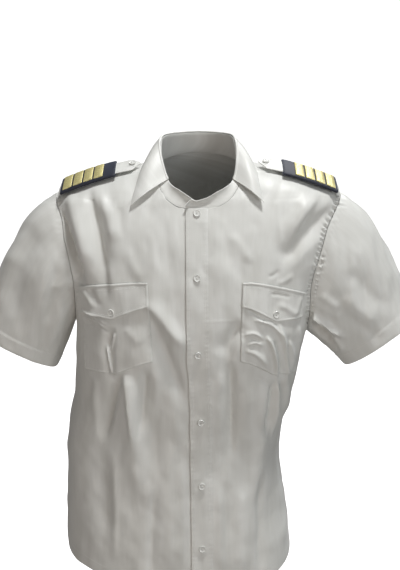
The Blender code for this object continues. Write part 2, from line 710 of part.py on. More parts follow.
def strap_curve():
    """A parabola in x for the strap's middle line, just clear of the shoulder under a board."""
    stations = np.linspace(0.100, 0.215, 8)
    offsets = np.linspace(-BOARD_HALF, BOARD_HALF, 9)
    needed = []
    for x in stations:
        rises = []
        for off in offsets:
            y = STRAP_MIDDLE - off * math.cos(STRAP_TILT)
            drop = off * math.sin(STRAP_TILT) + STRAP_CROWN * (off / BOARD_HALF) ** 2
            rises.append(shoulder_height(x, y) + drop)
        needed.append(max(rises))
    curve = np.polyfit(stations, needed, 2)
    short = max(np.array(needed) - np.polyval(curve, stations))
    curve[2] += short + (BOARD_DROP + BOARD_CLEARANCE) / math.cos(STRAP_TILT)
    return curve


def strap_frame(side, along, across, curve):
    """Point and normal on the strap's under face; across runs to the front."""
    z = np.polyval(curve, along) + STRAP_LIFT[side]
    z -= across * math.sin(STRAP_TILT) + STRAP_CROWN * (across / BOARD_HALF) ** 2
    z -= (STRAP_SEAM_DROP[side] + STRAP_LIFT[side]) * smoothstep(BOARD_REACH[1], STRAP_REACH[1], along)
    slope = np.polyval(np.polyder(curve), along)
    fall = -math.sin(STRAP_TILT) - 2 * STRAP_CROWN * across / BOARD_HALF ** 2
    point = np.array((side * along, STRAP_MIDDLE - across * math.cos(STRAP_TILT), z))
    normal = np.cross((1, 0, slope), (0, math.cos(STRAP_TILT), -fall))
    normal = normal / np.linalg.norm(normal)
    return point, normal * (side, 1, 1)


def strap_sheet(side, lengths, widths, height, curve):
    """A grid on the strap: a row for each place along it, each with its own half width."""
    points, normals = [], []
    for along, half in zip(lengths, widths):
        row = [strap_frame(side, along, across, curve) for across in np.linspace(-half, half, 7)]
        points.append([point + height * normal for point, normal in row])
        normals.append([normal for _, normal in row])
    return np.array(points), np.array(normals)


def make_strap(name, side, curve, material):
    start, end = STRAP_REACH
    lengths = [start, start + STRAP_POINT, *np.linspace(start + STRAP_POINT, BOARD_REACH[1], 7)[1:]]
    lengths += [(BOARD_REACH[1] + end) / 2, end]
    widths = [0.002] + [STRAP_WIDTH / 2] * (len(lengths) - 1)
    points, normals = strap_sheet(side, lengths, widths, STRAP_WALL, curve)
    numbers = grid_numbers(*points.shape[:2])
    wall(name, points, normals, grid_triangles(numbers), STRAP_WALL, material)


def make_board(name, side, curve, material):
    """The board: a flat tube that the strap runs through."""
    radius = BOARD_HEIGHT / 2
    straight = BOARD_HALF - radius
    section_points = []
    for centre, start in ((straight, -90), (-straight, 90)):
        for degrees in range(start, start + 181, 45):
            turn = math.radians(degrees)
            section_points.append((centre + radius * math.cos(turn), radius * math.sin(turn), turn))
        for share in (0.25, 0.5, 0.75):
            turn = math.radians(start + 180)
            section_points.append((centre * (1 - 2 * share), radius * math.sin(turn), turn))
    rows, facings = [], []
    for along in np.linspace(*BOARD_REACH, 8):
        row, facing = [], []
        for across, up, turn in section_points:
            point, normal = strap_frame(side, along, across, curve)
            ahead, _ = strap_frame(side, along, across + 0.0001, curve)
            sideways = (ahead - point) / np.linalg.norm(ahead - point)
            row.append(point + (up + radius - BOARD_DROP) * normal)
            facing.append(math.cos(turn) * sideways + math.sin(turn) * normal)
        rows.append(row)
        facings.append(facing)
    points, normals = np.array(rows), np.array(facings)
    numbers = grid_numbers(*points.shape[:2], closed=True)
    wall(name, points, normals, grid_triangles(numbers), BOARD_WALL, material)


def make_bars(side_name, side, curve, material):
    height = BOARD_HEIGHT - BOARD_DROP + SEAM_GAP + BAR_WALL
    for number in range(BARS):
        end = BOARD_REACH[1] - BAR_MARGIN - number * BAR_PITCH
        lengths = (end - BAR_WIDTH, end)
        points, normals = strap_sheet(side, lengths, (BAR_HALF, BAR_HALF), height, curve)
        numbers = grid_numbers(*points.shape[:2])
        name = f"bar_{side_name}_{number + 1}"
        wall(name, points, normals, grid_triangles(numbers), BAR_WALL, material)


def button_mesh():
    """A round button with a raised rim, its back at its origin."""
    mesh = bpy.data.meshes.new("button")
    shape = bmesh.new()
    sizes = {"segments": BUTTON_SIDES, "radius1": BUTTON_RADIUS, "radius2": BUTTON_RADIUS}
    bmesh.ops.create_cone(shape, cap_ends=True, depth=BUTTON_THICK, **sizes)
    bmesh.ops.translate(shape, verts=shape.verts, vec=(0, 0, BUTTON_THICK / 2))
    top = [face for face in shape.faces if face.normal.z > 0.9]
    bmesh.ops.inset_individual(shape, faces=top, thickness=BUTTON_RIM)
    bmesh.ops.translate(shape, verts=list(top[0].verts), vec=(0, 0, -BUTTON_WELL))
    shape.to_mesh(mesh)
    shape.free()
    return mesh


def make_button(name, mesh, point, normal):
    button = bpy.data.objects.new(name, mesh)
    x, y, z = normal
    button.location = point + BUTTON_GAP * normal
    button.rotation_euler = (0, math.acos(z), math.atan2(y, x))
    button.parent = bpy.data.objects["shirt"]
    bpy.context.collection.objects.link(button)


def sheet_place(sheet, column, z, layer):
    """Point and normal on top of the cloth of a front, at one of its columns."""
    heights = sheet.points[:, column, 2]
    row = np.searchsorted(-heights, -z) - 1
    share = (heights[row] - z) / (heights[row] - heights[row + 1])
    base = sheet.points[row, column] * (1 - share) + sheet.points[row + 1, column] * share
    normal = sheet.normals[row, column] * (1 - share) + sheet.normals[row + 1, column] * share
    normal /= np.linalg.norm(normal)
    return base + layer * normal, normal


def make_buttons(fronts, curve, material):
    mesh = button_mesh()
    mesh.materials.append(material)
    for number, level in enumerate(BUTTON_LEVELS):
        point, normal = sheet_place(fronts["left"], 1, level, LAYER)
        make_button(f"button_front_{number + 1}", mesh, point, normal)
    for name, side in SIDES.items():
        point, normal = sheet_place(fronts[name], COLUMN_POCKET_MIDDLE, FLAP_BUTTON[side], 2 * LAYER)
        make_button(f"button_flap_{name}", mesh, point, normal)
        point, normal = strap_frame(side, STRAP_BUTTON, 0.0, curve)
        make_button(f"button_strap_{name}", mesh, point + STRAP_WALL * normal, normal)


def new_material(name, colour, roughness, metallic=0.0):
    material = bpy.data.materials.new(name)
    material.use_nodes = True
    shader = material.node_tree.nodes["Principled BSDF"]
    shader.inputs["Base Color"].default_value = (*colour, 1)
    shader.inputs["Roughness"].default_value = roughness
    shader.inputs["Metallic"].default_value = metallic
    material.diffuse_color = (*colour, 1)
    return material


def build():
    for shape in list(bpy.data.objects):
        bpy.data.objects.remove(shape)
    shirt = bpy.data.objects.new("shirt", None)
    bpy.context.collection.objects.link(shirt)
    cloth = new_material("white_cloth", (0.80, 0.80, 0.78), 0.45)
    board = new_material("board_cloth", (0.012, 0.014, 0.030), 0.70)
    gold = new_material("gold_braid", (0.72, 0.50, 0.12), 0.35, 0.6)
    pearl = new_material("button_pearl", (0.86, 0.86, 0.83), 0.20)

    fronts = {name: front_sheet(side) for name, side in SIDES.items()}
    back = back_sheet()
    pocket_columns = (COLUMN_POCKET, COLUMN_POCKET_END)
    for name, side in SIDES.items():
        front = fronts[name]
        make_front(f"front_{name}", side, front, cloth)
        make_sleeve(f"sleeve_{name}", side, front, back, cloth)
        pocket = front.part((ROW_POCKET, ROW_POCKET_END), pocket_columns, LAYER)
        sheet_wall(f"pocket_{name}", pocket, cloth)
        flap = front.part((ROW_POCKET, ROW_FLAP_END), pocket_columns, 2 * LAYER)
        sheet_wall(f"flap_{name}", flap, cloth)
    placket = fronts["left"].part((ROW_NECK, ROW_HEM), (0, COLUMN_PLACKET_END), LAYER)
    sheet_wall("placket", placket, cloth)
    make_yoke_and_back(back, cloth)
    turns = make_stand(fronts["left"], fronts["right"], back, cloth)
    make_leaf(turns, cloth)
    curve = strap_curve()
    for name, side in SIDES.items():
        make_strap(f"strap_{name}", side, curve, cloth)
        make_board(f"slider_{name}", side, curve, board)
        make_bars(name, side, curve, gold)
    make_buttons(fronts, curve, pearl)


build()
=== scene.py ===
"""Looks of a white short-sleeved uniform shirt with shoulder boards, around its solids.

Metres, +Z up, the front faces -Y and +X is the wearer's left. The cloth shells follow the same
shape of the body as the solids, with finer folds, stitches, braid and buttons.
"""
import math

import bmesh
import bpy
import numpy as np
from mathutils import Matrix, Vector

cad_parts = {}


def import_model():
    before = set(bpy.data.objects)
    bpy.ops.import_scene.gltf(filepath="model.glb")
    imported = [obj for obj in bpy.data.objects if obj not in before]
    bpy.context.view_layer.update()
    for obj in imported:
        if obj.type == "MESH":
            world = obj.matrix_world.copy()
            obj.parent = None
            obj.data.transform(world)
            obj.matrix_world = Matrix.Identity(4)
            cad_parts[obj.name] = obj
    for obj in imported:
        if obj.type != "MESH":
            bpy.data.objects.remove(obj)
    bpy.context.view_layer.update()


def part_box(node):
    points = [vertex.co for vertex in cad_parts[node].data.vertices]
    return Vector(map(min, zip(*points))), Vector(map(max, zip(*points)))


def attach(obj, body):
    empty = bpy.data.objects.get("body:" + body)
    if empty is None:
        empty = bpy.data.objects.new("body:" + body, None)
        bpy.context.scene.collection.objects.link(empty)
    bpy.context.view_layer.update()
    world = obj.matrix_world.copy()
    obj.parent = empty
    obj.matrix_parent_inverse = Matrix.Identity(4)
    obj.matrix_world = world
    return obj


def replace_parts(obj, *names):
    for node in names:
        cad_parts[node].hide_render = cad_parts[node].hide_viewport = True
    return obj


# Camera: the photograph's angle and framing
FRAME_HEIGHT_PX = 570
FOCAL_PX = 1216.0
CAMERA_AIM = Vector((0.0015, 0.0, -0.2041))
CAMERA_DISTANCE = 2.036
CAMERA_ELEVATION = math.radians(11.97)

# Soft lights: name, place, height of the point they aim at, size, power and colour
LIGHTS = (
    ("key", (0.45, -0.5, 2.5), -0.2, 0.4, 55, (0.99, 1.0, 0.99)),
    ("front", (1.9, -2.4, 0.2), -0.25, 1.4, 19, (0.97, 1.0, 1.0)),
    ("fill", (-0.7, -2.5, -0.9), -0.3, 1.4, 10.5, (1.0, 0.87, 0.76)),
    ("rim", (0.9, 1.7, 1.8), -0.1, 0.7, 26, (1.0, 1.0, 1.0)),
)
SKY_COLOUR = (1.0, 0.985, 0.96, 1)
SKY_STRENGTH = 0.17

# Cloth and gaps, as in the solids
CLOTH = 0.0012
SEAM_GAP = 0.0003
LAYER = CLOTH + SEAM_GAP
STAND_WALL = 0.0018
LEAF_WALL = 0.0016
SLEEVE_GAP = 0.0006
STAND_GAP = 0.0006

# Only here: how thick most shells are, the gap left at a side seam, and how much more than
# one layer the right front lies under the placket
SHELL = 0.0009
SIDE_GAP = 0.00002
UNDER_SPARE = 0.0001

# The body's sections: height, middle, half width, half depth in front and behind, squareness
SECTIONS = np.array((
    (0.000, 0.000, 0.0700, 0.046, 0.060, 2.10),
    (-0.004, 0.002, 0.0930, 0.0475, 0.062, 2.10),
    (-0.0105, 0.004, 0.1350, 0.0500, 0.066, 2.20),
    (-0.0165, 0.004, 0.1590, 0.0530, 0.071, 2.35),
    (-0.0275, 0.004, 0.1900, 0.0600, 0.079, 2.55),
    (-0.041, 0.002, 0.2220, 0.0690, 0.087, 2.75),
    (-0.050, -0.001, 0.2335, 0.0755, 0.092, 2.85),
    (-0.066, -0.003, 0.2350, 0.083, 0.099, 2.75),
    (-0.085, -0.005, 0.2345, 0.092, 0.105, 2.60),
    (-0.110, -0.008, 0.2340, 0.102, 0.111, 2.50),
    (-0.150, -0.009, 0.2240, 0.114, 0.117, 2.42),
    (-0.190, -0.010, 0.2090, 0.123, 0.119, 2.40),
    (-0.230, -0.0095, 0.1995, 0.128, 0.117, 2.45),
    (-0.265, -0.0115, 0.1930, 0.130, 0.113, 2.60),
    (-0.300, -0.0165, 0.1890, 0.129, 0.109, 2.75),
    (-0.340, -0.0205, 0.1865, 0.127, 0.105, 2.75),
    (-0.385, -0.0275, 0.1840, 0.124, 0.103, 2.60),
    (-0.433, -0.0385, 0.1822, 0.121, 0.103, 2.45),
    (-0.490, -0.044, 0.1820, 0.119, 0.106, 2.35),
    (-0.560, -0.0415, 0.1860, 0.121, 0.112, 2.30),
    (-0.640, -0.036, 0.1920, 0.125, 0.118, 2.30),
    (-0.730, -0.031, 0.1955, 0.127, 0.121, 2.30),
))
NAPE_RISE = 0.012
NAPE_REACH = 0.090

# Neck, shoulders and armholes; the wearer's left is side +1, the right is side -1
NECK_HALF_WIDTH = 0.070
NECK_FRONT = -0.063
SHOULDER_TIP = -0.046
YOKE_SEAM = -0.100
ARMPIT = {1: -0.2785, -1: -0.258}
ARMHOLE_FRONT = 0.062
ARMHOLE_BACK = 0.055

# Front edge: the placket's middle line, by height
PLACKET_HALF = 0.0175
PLACKET_LINE = np.array((
    (-0.063, -0.0035),
    (-0.170, -0.0030),
    (-0.287, -0.0015),
    (-0.396, 0.0030),
    (-0.730, 0.0060),
))

# Pockets: inner edge from the placket's middle line, at the top and the bottom of each
POCKET_WIDTH = {1: 0.113, -1: 0.125}
POCKET_INNER = {1: (0.0720, 0.0665), -1: (0.0785, 0.0725)}
POCKET_TOP = -0.176
POCKET_BOTTOM = -0.303
POCKET_DROOP = {1: (0.024, 0.034), -1: (0.014, 0.024)}

# Heights of the rows of points on the body, from the neck points to the hem
LEVELS = np.array((
    0.000, -0.002, -0.005, -0.010, -0.018, -0.028, -0.037, SHOULDER_TIP, -0.053, -0.0605,
    NECK_FRONT, -0.080, YOKE_SEAM, -0.124, -0.150, POCKET_TOP, -0.195, -0.214, -0.234, -0.251,
    -0.262, -0.283, POCKET_BOTTOM, -0.330, -0.360, -0.400, -0.450, -0.510, -0.580, -0.650,
    -0.700,
))
ROW_TIP = 7
ROW_NECK = 10
ROW_YOKE = 12
ROW_POCKET = 15
ROW_FLAP_END = 17
ROW_ARMPIT = 20
ROW_POCKET_END = 22
ROW_HEM = 30
BACK_TAIL = 0.020
TAIL_START = -0.450
TAIL_FULL = -0.580
HEM = LEVELS[-1]

# How far the rows dip at a pocket's middle line, which gives flap and pocket their points
POCKET_DIPS = np.array((
    (POCKET_TOP, 0.000),
    (-0.195, 0.009),
    (-0.214, 0.018),
    (-0.262, 0.018),
    (POCKET_BOTTOM, 0.016),
    (-0.360, 0.008),
    (-0.450, 0.000),
))

# Height of each row where it meets the armhole or the side seam, on the left and the right
EDGE_HEIGHTS = np.array((
    (0.000, 0.000, 0.000),
    (SHOULDER_TIP, SHOULDER_TIP, SHOULDER_TIP),
    (-0.124, -0.126, -0.124),
    (POCKET_TOP, -0.188, -0.182),
    (-0.214, -0.230, -0.218),
    (-0.262, ARMPIT[1], ARMPIT[-1]),
    (POCKET_BOTTOM, -0.316, -0.304),
    (-0.360, -0.366, -0.361),
    (-0.450, -0.450, -0.450),
    (-0.580, -0.557, -0.557),
    (-0.650, -0.610, -0.610),
    (-0.700, -0.655, -0.655),
))

# Columns of a front: placket, plain cloth, pocket, plain cloth up to the edge; rough width of one
COLUMN_PLACKET_END = 2
COLUMN_POCKET = 5
COLUMN_POCKET_MIDDLE = 9
COLUMN_POCKET_END = 13
COLUMN_EDGE = 16
COLUMN_STEP = 0.012
INNER_STEPS = (0.031, 0.050)
FREE_LEVELS = (-0.080, -0.160)
BACK_COLUMNS = 20

# The largest folds by face, near those of the solids: two ends (x, z), width and height
FOLDS = {
    "front": (
        (-0.205, -0.060, -0.168, -0.160, 0.014, 0.0050),
        (-0.224, -0.092, -0.186, -0.200, 0.013, -0.0065),
        (-0.168, -0.048, -0.142, -0.164, 0.012, -0.0045),
        (-0.144, -0.050, -0.132, -0.118, 0.012, 0.0030),
        (-0.086, -0.198, -0.014, -0.290, 0.013, 0.0040),
        (-0.082, -0.240, -0.022, -0.372, 0.016, -0.0050),
        (-0.120, -0.310, -0.098, -0.560, 0.015, 0.0065),
        (-0.084, -0.300, -0.066, -0.520, 0.015, -0.0060),
        (-0.160, -0.330, -0.156, -0.640, 0.018, -0.0050),
        (0.198, -0.072, 0.120, -0.138, 0.014, -0.0040),
        (0.186, -0.046, 0.128, -0.104, 0.013, 0.0035),
        (0.112, -0.129, 0.166, -0.138, 0.010, -0.0020),
        (0.072, -0.236, 0.026, -0.292, 0.013, -0.0045),
        (0.052, -0.290, 0.046, -0.520, 0.015, -0.0060),
        (0.110, -0.330, 0.090, -0.560, 0.014, 0.0060),
        (0.132, -0.390, 0.126, -0.660, 0.016, -0.0050),
        (-0.050, -0.420, -0.046, -0.690, 0.018, 0.0050),
        (0.070, -0.500, 0.066, -0.700, 0.016, 0.0045),
    ),
    "back": (
        (0.150, -0.120, 0.060, -0.235, 0.018, 0.0050),
        (-0.155, -0.115, -0.070, -0.225, 0.018, 0.0050),
        (0.105, -0.100, 0.090, -0.330, 0.014, -0.0055),
        (-0.110, -0.100, -0.098, -0.330, 0.014, -0.0055),
        (0.150, -0.300, 0.020, -0.390, 0.016, 0.0050),
        (-0.170, -0.290, -0.050, -0.400, 0.016, 0.0055),
        (0.070, -0.400, 0.080, -0.690, 0.018, -0.0060),
        (0.010, -0.380, 0.015, -0.710, 0.020, 0.0060),
        (-0.060, -0.400, -0.062, -0.700, 0.018, -0.0060),
        (-0.125, -0.420, -0.130, -0.680, 0.018, 0.0055),
    ),
}

# Finer creases by face: start, middle and end (x, z), width on each side, height
CREASES = {
    "front": (
        (-0.226, -0.070, -0.209, -0.130, -0.184, -0.196, 0.012, 0.007, -0.0120),
        (-0.212, -0.034, -0.194, -0.100, -0.168, -0.188, 0.010, 0.013, 0.0058),
        (-0.180, -0.026, -0.161, -0.108, -0.141, -0.216, 0.011, 0.006, -0.0078),
        (-0.160, -0.034, -0.148, -0.076, -0.136, -0.124, 0.006, 0.010, 0.0034),
        (-0.126, -0.060, -0.124, -0.085, -0.120, -0.120, 0.006, 0.006, -0.0014),
        (-0.117, -0.117, -0.104, -0.152, -0.086, -0.172, 0.010, 0.008, 0.0020),
        (-0.080, -0.090, -0.072, -0.126, -0.064, -0.172, 0.007, 0.005, 0.0014),
        (-0.054, -0.068, -0.051, -0.115, -0.045, -0.170, 0.008, 0.006, -0.0014),
        (-0.034, -0.080, -0.036, -0.120, -0.034, -0.172, 0.006, 0.006, 0.0008),
        (-0.088, -0.200, -0.053, -0.245, -0.019, -0.284, 0.005, 0.012, 0.0042),
        (-0.082, -0.218, -0.052, -0.285, -0.020, -0.385, 0.013, 0.009, -0.0064),
        (-0.124, -0.322, -0.140, -0.378, -0.158, -0.450, 0.011, 0.006, -0.0100),
        (-0.120, -0.322, -0.113, -0.378, -0.104, -0.470, 0.004, 0.012, 0.0056),
        (-0.083, -0.310, -0.090, -0.364, -0.102, -0.460, 0.007, 0.006, -0.0060),
        (-0.068, -0.310, -0.072, -0.361, -0.080, -0.430, 0.008, 0.008, 0.0028),
        (-0.050, -0.330, -0.040, -0.390, -0.032, -0.460, 0.010, 0.010, 0.0020),
        (-0.195, -0.228, -0.167, -0.235, -0.139, -0.251, 0.0025, 0.0025, 0.0022),
        (-0.190, -0.240, -0.164, -0.243, -0.141, -0.257, 0.0025, 0.0025, 0.0018),
        (-0.185, -0.250, -0.160, -0.252, -0.140, -0.262, 0.003, 0.003, -0.0016),
        (-0.186, -0.193, -0.177, -0.207, -0.163, -0.224, 0.004, 0.004, 0.0020),
        (-0.176, -0.190, -0.166, -0.203, -0.154, -0.220, 0.005, 0.004, -0.0018),
        (-0.138, -0.246, -0.142, -0.292, -0.141, -0.350, 0.010, 0.007, -0.0070),
        (-0.1335, -0.256, -0.138, -0.274, -0.1430, -0.292, 0.0020, 0.0026, 0.0040),
        (-0.1475, -0.276, -0.144, -0.304, -0.1395, -0.333, 0.0022, 0.0026, 0.0046),
        (-0.118, -0.246, -0.104, -0.262, -0.090, -0.276, 0.007, 0.007, 0.0014),
        (0.196, -0.034, 0.164, -0.080, 0.124, -0.140, 0.016, 0.008, 0.0064),
        (0.214, -0.062, 0.178, -0.102, 0.128, -0.152, 0.008, 0.010, -0.0050),
        (0.000, -0.237, 0.034, -0.2355, 0.070, -0.2365, 0.0014, 0.0014, 0.0005),
        (0.206, -0.104, 0.170, -0.134, 0.120, -0.158, 0.006, 0.012, 0.0010),
        (0.123, -0.050, 0.127, -0.088, 0.131, -0.128, 0.003, 0.003, 0.0010),
        (0.107, -0.168, 0.119, -0.166, 0.129, -0.158, 0.003, 0.003, -0.0014),
        (0.122, -0.181, 0.138, -0.176, 0.152, -0.166, 0.004, 0.004, 0.0016),
        (0.010, -0.142, 0.031, -0.155, 0.056, -0.170, 0.016, 0.014, 0.0020),
        (0.050, -0.098, 0.069, -0.125, 0.084, -0.150, 0.008, 0.008, 0.0020),
        (0.090, -0.085, 0.081, -0.117, 0.074, -0.148, 0.008, 0.007, 0.0018),
        (0.036, -0.080, 0.044, -0.120, 0.052, -0.150, 0.008, 0.008, -0.0014),
        (0.070, -0.213, 0.101, -0.236, 0.126, -0.258, 0.0025, 0.0025, -0.0020),
        (0.084, -0.236, 0.116, -0.248, 0.134, -0.280, 0.0024, 0.0030, 0.0054),
        (0.124, -0.240, 0.137, -0.292, 0.144, -0.352, 0.0024, 0.0034, 0.0060),
        (0.104, -0.262, 0.118, -0.291, 0.126, -0.350, 0.0026, 0.0030, 0.0058),
        (0.120, -0.268, 0.126, -0.297, 0.133, -0.340, 0.003, 0.003, -0.0034),
        (0.070, -0.262, 0.086, -0.257, 0.102, -0.270, 0.002, 0.003, 0.0030),
        (0.074, -0.278, 0.090, -0.272, 0.100, -0.281, 0.002, 0.003, 0.0026),
        (0.072, -0.288, 0.090, -0.292, 0.112, -0.320, 0.003, 0.005, 0.0034),
        (0.078, -0.267, 0.088, -0.266, 0.098, -0.276, 0.0025, 0.0025, -0.0014),
        (0.136, -0.268, 0.149, -0.299, 0.150, -0.336, 0.004, 0.004, 0.0034),
        (0.142, -0.262, 0.141, -0.299, 0.146, -0.336, 0.003, 0.003, -0.0032),
        (0.158, -0.250, 0.160, -0.280, 0.157, -0.320, 0.004, 0.004, 0.0028),
        (0.110, -0.196, 0.128, -0.198, 0.146, -0.206, 0.003, 0.003, -0.0014),
        (0.120, -0.214, 0.140, -0.222, 0.152, -0.240, 0.005, 0.005, 0.0018),
        (0.150, -0.236, 0.158, -0.220, 0.163, -0.200, 0.004, 0.004, 0.0020),
        (0.124, -0.338, 0.117, -0.383, 0.106, -0.450, 0.006, 0.005, -0.0092),
        (0.127, -0.338, 0.126, -0.388, 0.121, -0.460, 0.004, 0.004, 0.0070),
        (0.131, -0.338, 0.134, -0.383, 0.133, -0.450, 0.004, 0.005, -0.0072),
        (0.138, -0.334, 0.146, -0.372, 0.148, -0.440, 0.005, 0.006, 0.0028),
        (0.094, -0.330, 0.106, -0.342, 0.118, -0.350, 0.003, 0.004, -0.0014),
        (0.070, -0.230, 0.048, -0.290, 0.052, -0.355, 0.010, 0.006, -0.0038),
        (0.053, -0.300, 0.055, -0.370, 0.056, -0.480, 0.008, 0.005, -0.0084),
        (0.036, -0.310, 0.034, -0.380, 0.036, -0.470, 0.008, 0.008, 0.0024),
        (0.080, -0.340, 0.078, -0.420, 0.078, -0.500, 0.010, 0.009, 0.0020),
        (-0.168, -0.330, -0.170, -0.380, -0.168, -0.450, 0.006, 0.006, 0.0024),
        (-0.140, -0.450, -0.138, -0.560, -0.142, -0.660, 0.008, 0.006, 0.0034),
        (-0.070, -0.500, -0.078, -0.600, -0.080, -0.690, 0.006, 0.009, -0.0034),
        (-0.030, -0.470, -0.026, -0.560, -0.030, -0.690, 0.008, 0.006, 0.0024),
        (0.030, -0.500, 0.036, -0.600, 0.034, -0.690, 0.009, 0.006, 0.0032),
        (0.104, -0.480, 0.100, -0.600, 0.102, -0.690, 0.006, 0.009, -0.0036),
        (0.144, -0.440, 0.150, -0.540, 0.150, -0.640, 0.006, 0.008, 0.0028),
    ),
    "back": (
        (0.112, -0.108, 0.104, -0.200, 0.096, -0.310, 0.003, 0.008, -0.0034),
        (-0.118, -0.108, -0.112, -0.200, -0.104, -0.310, 0.008, 0.003, -0.0034),
        (0.165, -0.135, 0.120, -0.190, 0.062, -0.245, 0.007, 0.012, 0.0032),
        (-0.172, -0.125, -0.130, -0.180, -0.076, -0.232, 0.012, 0.007, 0.0032),
        (0.150, -0.165, 0.112, -0.225, 0.060, -0.280, 0.010, 0.008, -0.0030),
        (-0.150, -0.160, -0.110, -0.215, -0.064, -0.262, 0.008, 0.010, -0.0030),
        (0.060, -0.150, 0.020, -0.176, -0.034, -0.190, 0.010, 0.010, 0.0016),
        (0.145, -0.315, 0.080, -0.352, 0.005, -0.374, 0.007, 0.010, -0.0034),
        (0.150, -0.340, 0.090, -0.380, 0.020, -0.404, 0.008, 0.008, 0.0030),
        (-0.155, -0.305, -0.090, -0.350, -0.025, -0.368, 0.010, 0.007, -0.0034),
        (-0.160, -0.335, -0.100, -0.378, -0.035, -0.398, 0.008, 0.008, 0.0028),
        (0.120, -0.400, 0.124, -0.520, 0.118, -0.670, 0.009, 0.006, 0.0040),
        (0.040, -0.420, 0.044, -0.540, 0.050, -0.700, 0.006, 0.009, -0.0036),
        (-0.030, -0.410, -0.028, -0.540, -0.024, -0.700, 0.009, 0.006, 0.0034),
        (-0.095, -0.430, -0.094, -0.540, -0.098, -0.680, 0.006, 0.008, -0.0032),
    ),
    "sleeve_left": (
        (0.180, -0.236, 0.208, -0.258, 0.246, -0.286, 0.006, 0.004, 0.0100),
        (0.184, -0.258, 0.208, -0.280, 0.236, -0.312, 0.006, 0.006, -0.0100),
        (0.218, -0.284, 0.230, -0.296, 0.240, -0.312, 0.004, 0.005, 0.0050),
        (0.194, -0.206, 0.212, -0.220, 0.232, -0.236, 0.006, 0.007, 0.0030),
        (0.196, -0.228, 0.216, -0.238, 0.236, -0.252, 0.006, 0.007, 0.0028),
        (0.232, -0.236, 0.266, -0.262, 0.312, -0.290, 0.009, 0.009, -0.0030),
        (0.236, -0.205, 0.262, -0.236, 0.300, -0.262, 0.010, 0.012, 0.0030),
        (0.248, -0.120, 0.286, -0.160, 0.330, -0.210, 0.016, 0.014, 0.0030),
        (0.240, -0.160, 0.272, -0.200, 0.318, -0.240, 0.012, 0.012, -0.0030),
    ),
    "sleeve_right": (
        (-0.232, -0.120, -0.252, -0.190, -0.270, -0.270, 0.014, 0.012, 0.0036),
        (-0.224, -0.150, -0.238, -0.205, -0.250, -0.270, 0.008, 0.010, -0.0034),
        (-0.262, -0.100, -0.290, -0.170, -0.306, -0.250, 0.016, 0.014, -0.0032),
        (-0.204, -0.196, -0.218, -0.204, -0.236, -0.216, 0.005, 0.005, -0.0026),
        (-0.208, -0.180, -0.222, -0.190, -0.240, -0.200, 0.006, 0.006, 0.0024),
        (-0.216, -0.226, -0.236, -0.262, -0.252, -0.312, 0.007, 0.008, 0.0034),
        (-0.290, -0.130, -0.320, -0.190, -0.334, -0.250, 0.014, 0.012, 0.0032),
    ),
    "sleeve_left_back": (
        (0.200, -0.240, 0.260, -0.262, 0.320, -0.270, 0.008, 0.010, 0.0038),
        (0.205, -0.215, 0.266, -0.226, 0.326, -0.230, 0.009, 0.009, -0.0034),
        (0.250, -0.110, 0.290, -0.160, 0.340, -0.215, 0.016, 0.014, 0.0032),
        (0.240, -0.150, 0.276, -0.190, 0.320, -0.216, 0.010, 0.012, -0.0028),
    ),
    "sleeve_right_back": (
        (-0.210, -0.230, -0.256, -0.256, -0.300, -0.280, 0.008, 0.010, 0.0038),
        (-0.210, -0.196, -0.262, -0.220, -0.316, -0.240, 0.009, 0.009, -0.0034),
        (-0.250, -0.110, -0.290, -0.170, -0.330, -0.230, 0.016, 0.014, 0.0032),
        (-0.236, -0.140, -0.270, -0.190, -0.304, -0.230, 0.012, 0.010, -0.0028),
    ),
}

# Folds fade out towards the armhole and the side, and start below the shoulder and the yoke
FOLD_EDGE_COLUMNS = 2.5
FOLD_EDGE_SHARE = 0.12
FOLD_START = {"front": (-0.035, -0.075), "back": (-0.100, -0.150)}

# Creases start below the shoulder line and end at this distance from a seam; one is followed
# in so many straight pieces, and felt up to so many of its widths away
CREASE_START = (-0.012, -0.040)
SEAM_CALM = 0.007
CREASE_PIECES = 10
CREASE_REACH = 2.6

# Small random-looking unevenness of the cloth: wave length, height and number of waves
CRUMPLES = ((0.070, 0.00080, 9), (0.030, 0.00034, 11), (0.015, 0.00008, 12))
CRUMPLE_SEEDS = {"front": 3, "back": 5, "sleeve": 7, "leaf": 21, "strap": 31}

# The turn from the shoulder into the front is eased: its height, how far the ease spreads up
# and down, the blur of its middle, and how sharp the turn is near the neck and further out
SHOULDER_TURN = -0.0485
SHOULDER_SPREAD = 0.010
SHOULDER_BLUR = 0.002
SHOULDER_SHARP = (0.2, 18.0)

# Puckers along the sewn armholes: wave length, reach from the seam, slant, height on each side
PUCKER_LENGTH = 0.0090
PUCKER_REACH = 0.0120
PUCKER_SLANT = 55.0
PUCKER_HEIGHT = {1: 0.0023, -1: 0.0008}

# Sleeves: inner corner of the hem (x, z), the way the sleeve leaves it, and the way along it;
# then the hem's depth and rows, how round the sleeve starts, and how its creases fade
SLEEVES = {
    1: {"corner": (0.2455, -0.3395), "axis": (0.643, -0.766), "hem": (0.800, 0.600), "width": 0.160},
    -1: {"corner": (-0.2405, -0.3425), "axis": (-0.454, -0.891), "hem": (-0.891, 0.454), "width": 0.150},
}
SLEEVE_DEPTH = 0.104
CAP_SLOPE = 25.0
SLEEVE_HEM = 0.022
SLEEVE_HEM_ROWS = (SLEEVE_HEM, 0.0165, 0.011, 0.0055, 0.0012, 0.0)
SLEEVE_HEM_STEP = 0.0008
SLEEVE_ROUND = 0.25
SLEEVE_BLEND = 0.35
SLEEVE_CALM = 0.014

